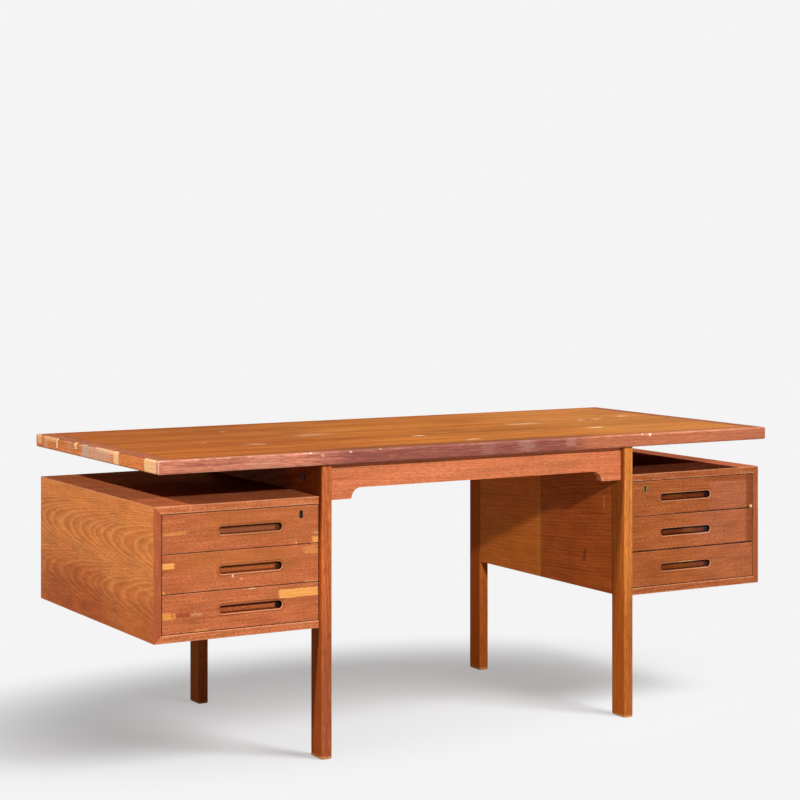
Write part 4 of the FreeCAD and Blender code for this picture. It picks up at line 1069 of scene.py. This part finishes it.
beech = {
    axis: pale_wood("planed_beech_" + axis.lower(), axis, BEECH, BEECH_STREAK, BEECH_FLECK, 0.7)
    for axis in ("X", "Y")}
plywood = pale_wood("birch_plywood", "X", PLY, PLY_STREAK, PLY_FLECK, 0.35)
for side in ("left", "right"):
    dress(side + "_drawer_runners", beech["Y"])
    dress(side + "_top_cleat", beech["Y"])
    for row in ("top", "middle", "bottom"):
        dress("%s_%s_drawer_sides" % (side, row), beech["Y"])
        dress("%s_%s_drawer_back" % (side, row), beech["X"])
        dress("%s_%s_drawer_bottom" % (side, row), plywood)
dress("frame_dowels", beech["X"])
print("beech and plywood: 23 pieces")

# %% [markdown]
# The metal is brass on the lock bolts and the keyhole liners, dulled by handling, less so on the
# right, and darkened steel on the lock cases, the bolts and the screws. A metal's colour is in its
# reflection, so each keeps the default IOR and gets its looks from a metallic base, a roughness
# that changes from place to place, and fine scuffs.

# %% Brass and steel
SCUFF_DEPTH = 0.05 * MM


def dull_metal(name, bright, dark, rough, spot):
    """A handled metal with darker, rougher spots of a size in millimetres."""
    material, tree, place = new_finish(name)
    spots = add(tree, "ShaderNodeTexNoise", {
        "Vector": place, "Scale": 1 / (spot * MM), "Detail": 3.0})
    spots = add(tree, "ShaderNodeMapRange", {"Value": spots, "From Min": 0.35, "From Max": 0.65})
    colour = lay(tree, linear(bright), spots, 1.0, dark)
    dull = add(tree, "ShaderNodeMapRange", {
        "Value": spots, "To Min": rough[0], "To Max": rough[1]})
    bump = add(tree, "ShaderNodeBump", {
        "Height": spots, "Strength": 0.15, "Distance": SCUFF_DEPTH})
    shader = add(tree, "ShaderNodeBsdfPrincipled", {
        "Base Color": colour, "Roughness": dull, "Normal": bump, "Metallic": 1.0})
    add(tree, "ShaderNodeOutputMaterial", {"Surface": shader})
    return material


brass = dull_metal("handled_brass", "#6e5440", "#3c2c22", (0.35, 0.55), 3.0)
yellow_brass = dull_metal("cleaner_brass", "#a8925e", "#74643e", (0.3, 0.5), 3.0)
steel = dull_metal("darkened_steel", "#665f58", "#3a342f", (0.35, 0.6), 2.5)
for side, liner in (("left", brass), ("right", yellow_brass)):
    dress(side + "_keyhole_liner", liner)
    dress(side + "_lock_case", steel)
    dress(side + "_lock_bolt", brass)
print("metal:", brass.name, "and", steel.name)

# %% [markdown]
# Fasteners repeat, so a Geometry Nodes tree makes one and sets a copy at each place. The places are
# the points of a small mesh. The tree builds a head with a socket or slot cut into it, joins it to
# a shank, turns each copy to face its own way, and realises the copies into one plain mesh.

# %% A tree for fasteners
HEAD_SIDES, SHANK_SIDES = 40, 24


def fastener_tree(name, material):
    """Head, shank and driver recess as named sizes, copied onto points."""
    tree = bpy.data.node_groups.new(name, "GeometryNodeTree")
    tree.interface.new_socket("Geometry", in_out="OUTPUT", socket_type="NodeSocketGeometry")
    tree.interface.new_socket("Points", in_out="INPUT", socket_type="NodeSocketGeometry")
    for label in ("Head Radius", "Head Height", "Shank Radius", "Shank Length", "Recess Depth",
                  "Recess Width", "Recess Length"):
        tree.interface.new_socket(label, in_out="INPUT", socket_type="NodeSocketFloat")
    tree.interface.new_socket("Recess Sides", in_out="INPUT", socket_type="NodeSocketInt")
    tree.interface.new_socket("Facing", in_out="INPUT", socket_type="NodeSocketVector")
    given = tree.nodes.new("NodeGroupInput").outputs
    head = add(tree, "GeometryNodeMeshCylinder", {
        "Vertices": HEAD_SIDES, "Radius": given["Head Radius"], "Depth": given["Head Height"]})
    half = add(tree, "ShaderNodeMath", {0: given["Head Height"], 1: 0.5}, operation="MULTIPLY")
    lift = add(tree, "ShaderNodeCombineXYZ", {2: half})
    head = add(tree, "GeometryNodeTransform", {"Geometry": head, "Translation": lift})
    recess = add(tree, "GeometryNodeMeshCylinder", {
        "Vertices": given["Recess Sides"], "Radius": 1.0, "Depth": given["Recess Depth"]})
    spread = add(tree, "ShaderNodeCombineXYZ", {
        0: given["Recess Length"], 1: given["Recess Width"], 2: 1.0})
    lift = add(tree, "ShaderNodeCombineXYZ", {2: given["Head Height"]})
    recess = add(tree, "GeometryNodeTransform", {
        "Geometry": recess, "Translation": lift, "Scale": spread})
    head = add(tree, "GeometryNodeMeshBoolean", {0: head, 1: recess}, operation="DIFFERENCE")
    shank = add(tree, "GeometryNodeMeshCylinder", {
        "Vertices": SHANK_SIDES, "Radius": given["Shank Radius"], "Depth": given["Shank Length"]})
    half = add(tree, "ShaderNodeMath", {0: given["Shank Length"], 1: -0.5}, operation="MULTIPLY")
    lift = add(tree, "ShaderNodeCombineXYZ", {2: half})
    shank = add(tree, "GeometryNodeTransform", {"Geometry": shank, "Translation": lift})
    joined = tree.nodes.new("GeometryNodeJoinGeometry")
    tree.links.new(shank, joined.inputs[0])
    tree.links.new(head, joined.inputs[0])
    place = add(tree, "GeometryNodeInputPosition")
    side = add(tree, "ShaderNodeSeparateXYZ", {0: place})
    side = add(tree, "ShaderNodeMath", {0: side}, operation="SIGN")
    side = add(tree, "ShaderNodeCombineXYZ", {0: side, 1: 1.0, 2: 1.0})
    facing = add(tree, "ShaderNodeVectorMath", {0: side, 1: given["Facing"]}, operation="MULTIPLY")
    turn = add(tree, "FunctionNodeAlignRotationToVector", {"Vector": facing}, axis="Z")
    copies = add(tree, "GeometryNodeInstanceOnPoints", {
        "Points": given["Points"], "Instance": joined.outputs[0], "Rotation": turn})
    real = add(tree, "GeometryNodeRealizeInstances", {"Geometry": copies})
    dressed = add(tree, "GeometryNodeSetMaterial", {"Geometry": real, "Material": material})
    add(tree, "NodeGroupOutput", {0: dressed})
    return tree


print("fastener tree ready")

# %% [markdown]
# The tree runs as a modifier over the points, with its sizes set by each input's identifier. Its
# result is kept as a plain mesh that rides on the frame, and the modifier goes.

# %% From tree to mesh
def baked(name, points, tree, sizes, body):
    """Run a tree over some points and keep the result as a plain mesh on a body."""
    cloud = bpy.data.meshes.new(name + "_points")
    cloud.from_pydata(points, [], [])
    holder = bpy.data.objects.new(name, cloud)
    scene.collection.objects.link(holder)
    modifier = holder.modifiers.new("fasteners", "NODES")
    modifier.node_group = tree
    for item in tree.interface.items_tree:
        if item.in_out == "INPUT" and item.name in sizes:
            modifier[item.identifier] = sizes[item.name]
    graph = bpy.context.evaluated_depsgraph_get()
    mesh = bpy.data.meshes.new_from_object(holder.evaluated_get(graph))
    holder.modifiers.clear()
    holder.data = mesh
    mesh.name = name
    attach(holder, body)
    return holder


print("ready to bake")

# %% [markdown]
# Four socket-head bolts go through the inner panels into the cleats, with their heads in the gap
# under the top.

# %% Bolts
BOLT_HEAD = 10 * MM
bolt_low, bolt_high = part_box("cleat_bolts")
panel_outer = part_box("right_inner_panel")[1].x
bolt_y = bolt_high.y - BOLT_HEAD
bolt_z = (bolt_low.z + bolt_high.z) / 2
bolts = baked(
    "socket_bolts",
    [(x, y, bolt_z) for x in (-panel_outer, panel_outer) for y in (-bolt_y, bolt_y)],
    fastener_tree("socket_bolt", steel),
    {"Head Radius": BOLT_HEAD, "Head Height": bolt_high.x - panel_outer, "Shank Radius": 4 * MM,
     "Shank Length": 36 * MM, "Recess Depth": 4 * MM, "Recess Width": 4.5 * MM,
     "Recess Length": 4.5 * MM, "Recess Sides": 6, "Facing": (1.0, 0.0, 0.0)}, "frame")
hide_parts("cleat_bolts")
print("bolts:", len(bolts.data.polygons), "faces")

# %% [markdown]
# Six slotted screws go up through the cleats into the top, so their heads face down.

# %% Screws
SCREW_HEAD = 4.5 * MM
SCREW_HEAD_HEIGHT = 3 * MM
screw_low, screw_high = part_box("top_screws")
screw_x = screw_high.x - SCREW_HEAD
screw_y = screw_high.y - SCREW_HEAD
seat = screw_low.z + SCREW_HEAD_HEIGHT
screws = baked(
    "slotted_screws",
    [(x, y, seat) for x in (-screw_x, screw_x) for y in (-screw_y, 0.0, screw_y)],
    fastener_tree("slotted_screw", steel),
    {"Head Radius": SCREW_HEAD, "Head Height": SCREW_HEAD_HEIGHT, "Shank Radius": 2.5 * MM,
     "Shank Length": screw_high.z - seat, "Recess Depth": 3 * MM, "Recess Width": 0.9 * MM,
     "Recess Length": 6 * MM, "Recess Sides": 4, "Facing": (0.0, 0.0, -1.0)}, "frame")
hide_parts("top_screws")
print("screws:", len(screws.data.polygons), "faces")

# %% Finish
low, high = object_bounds()
print("visual box", [round(c, 4) for c in high - low])
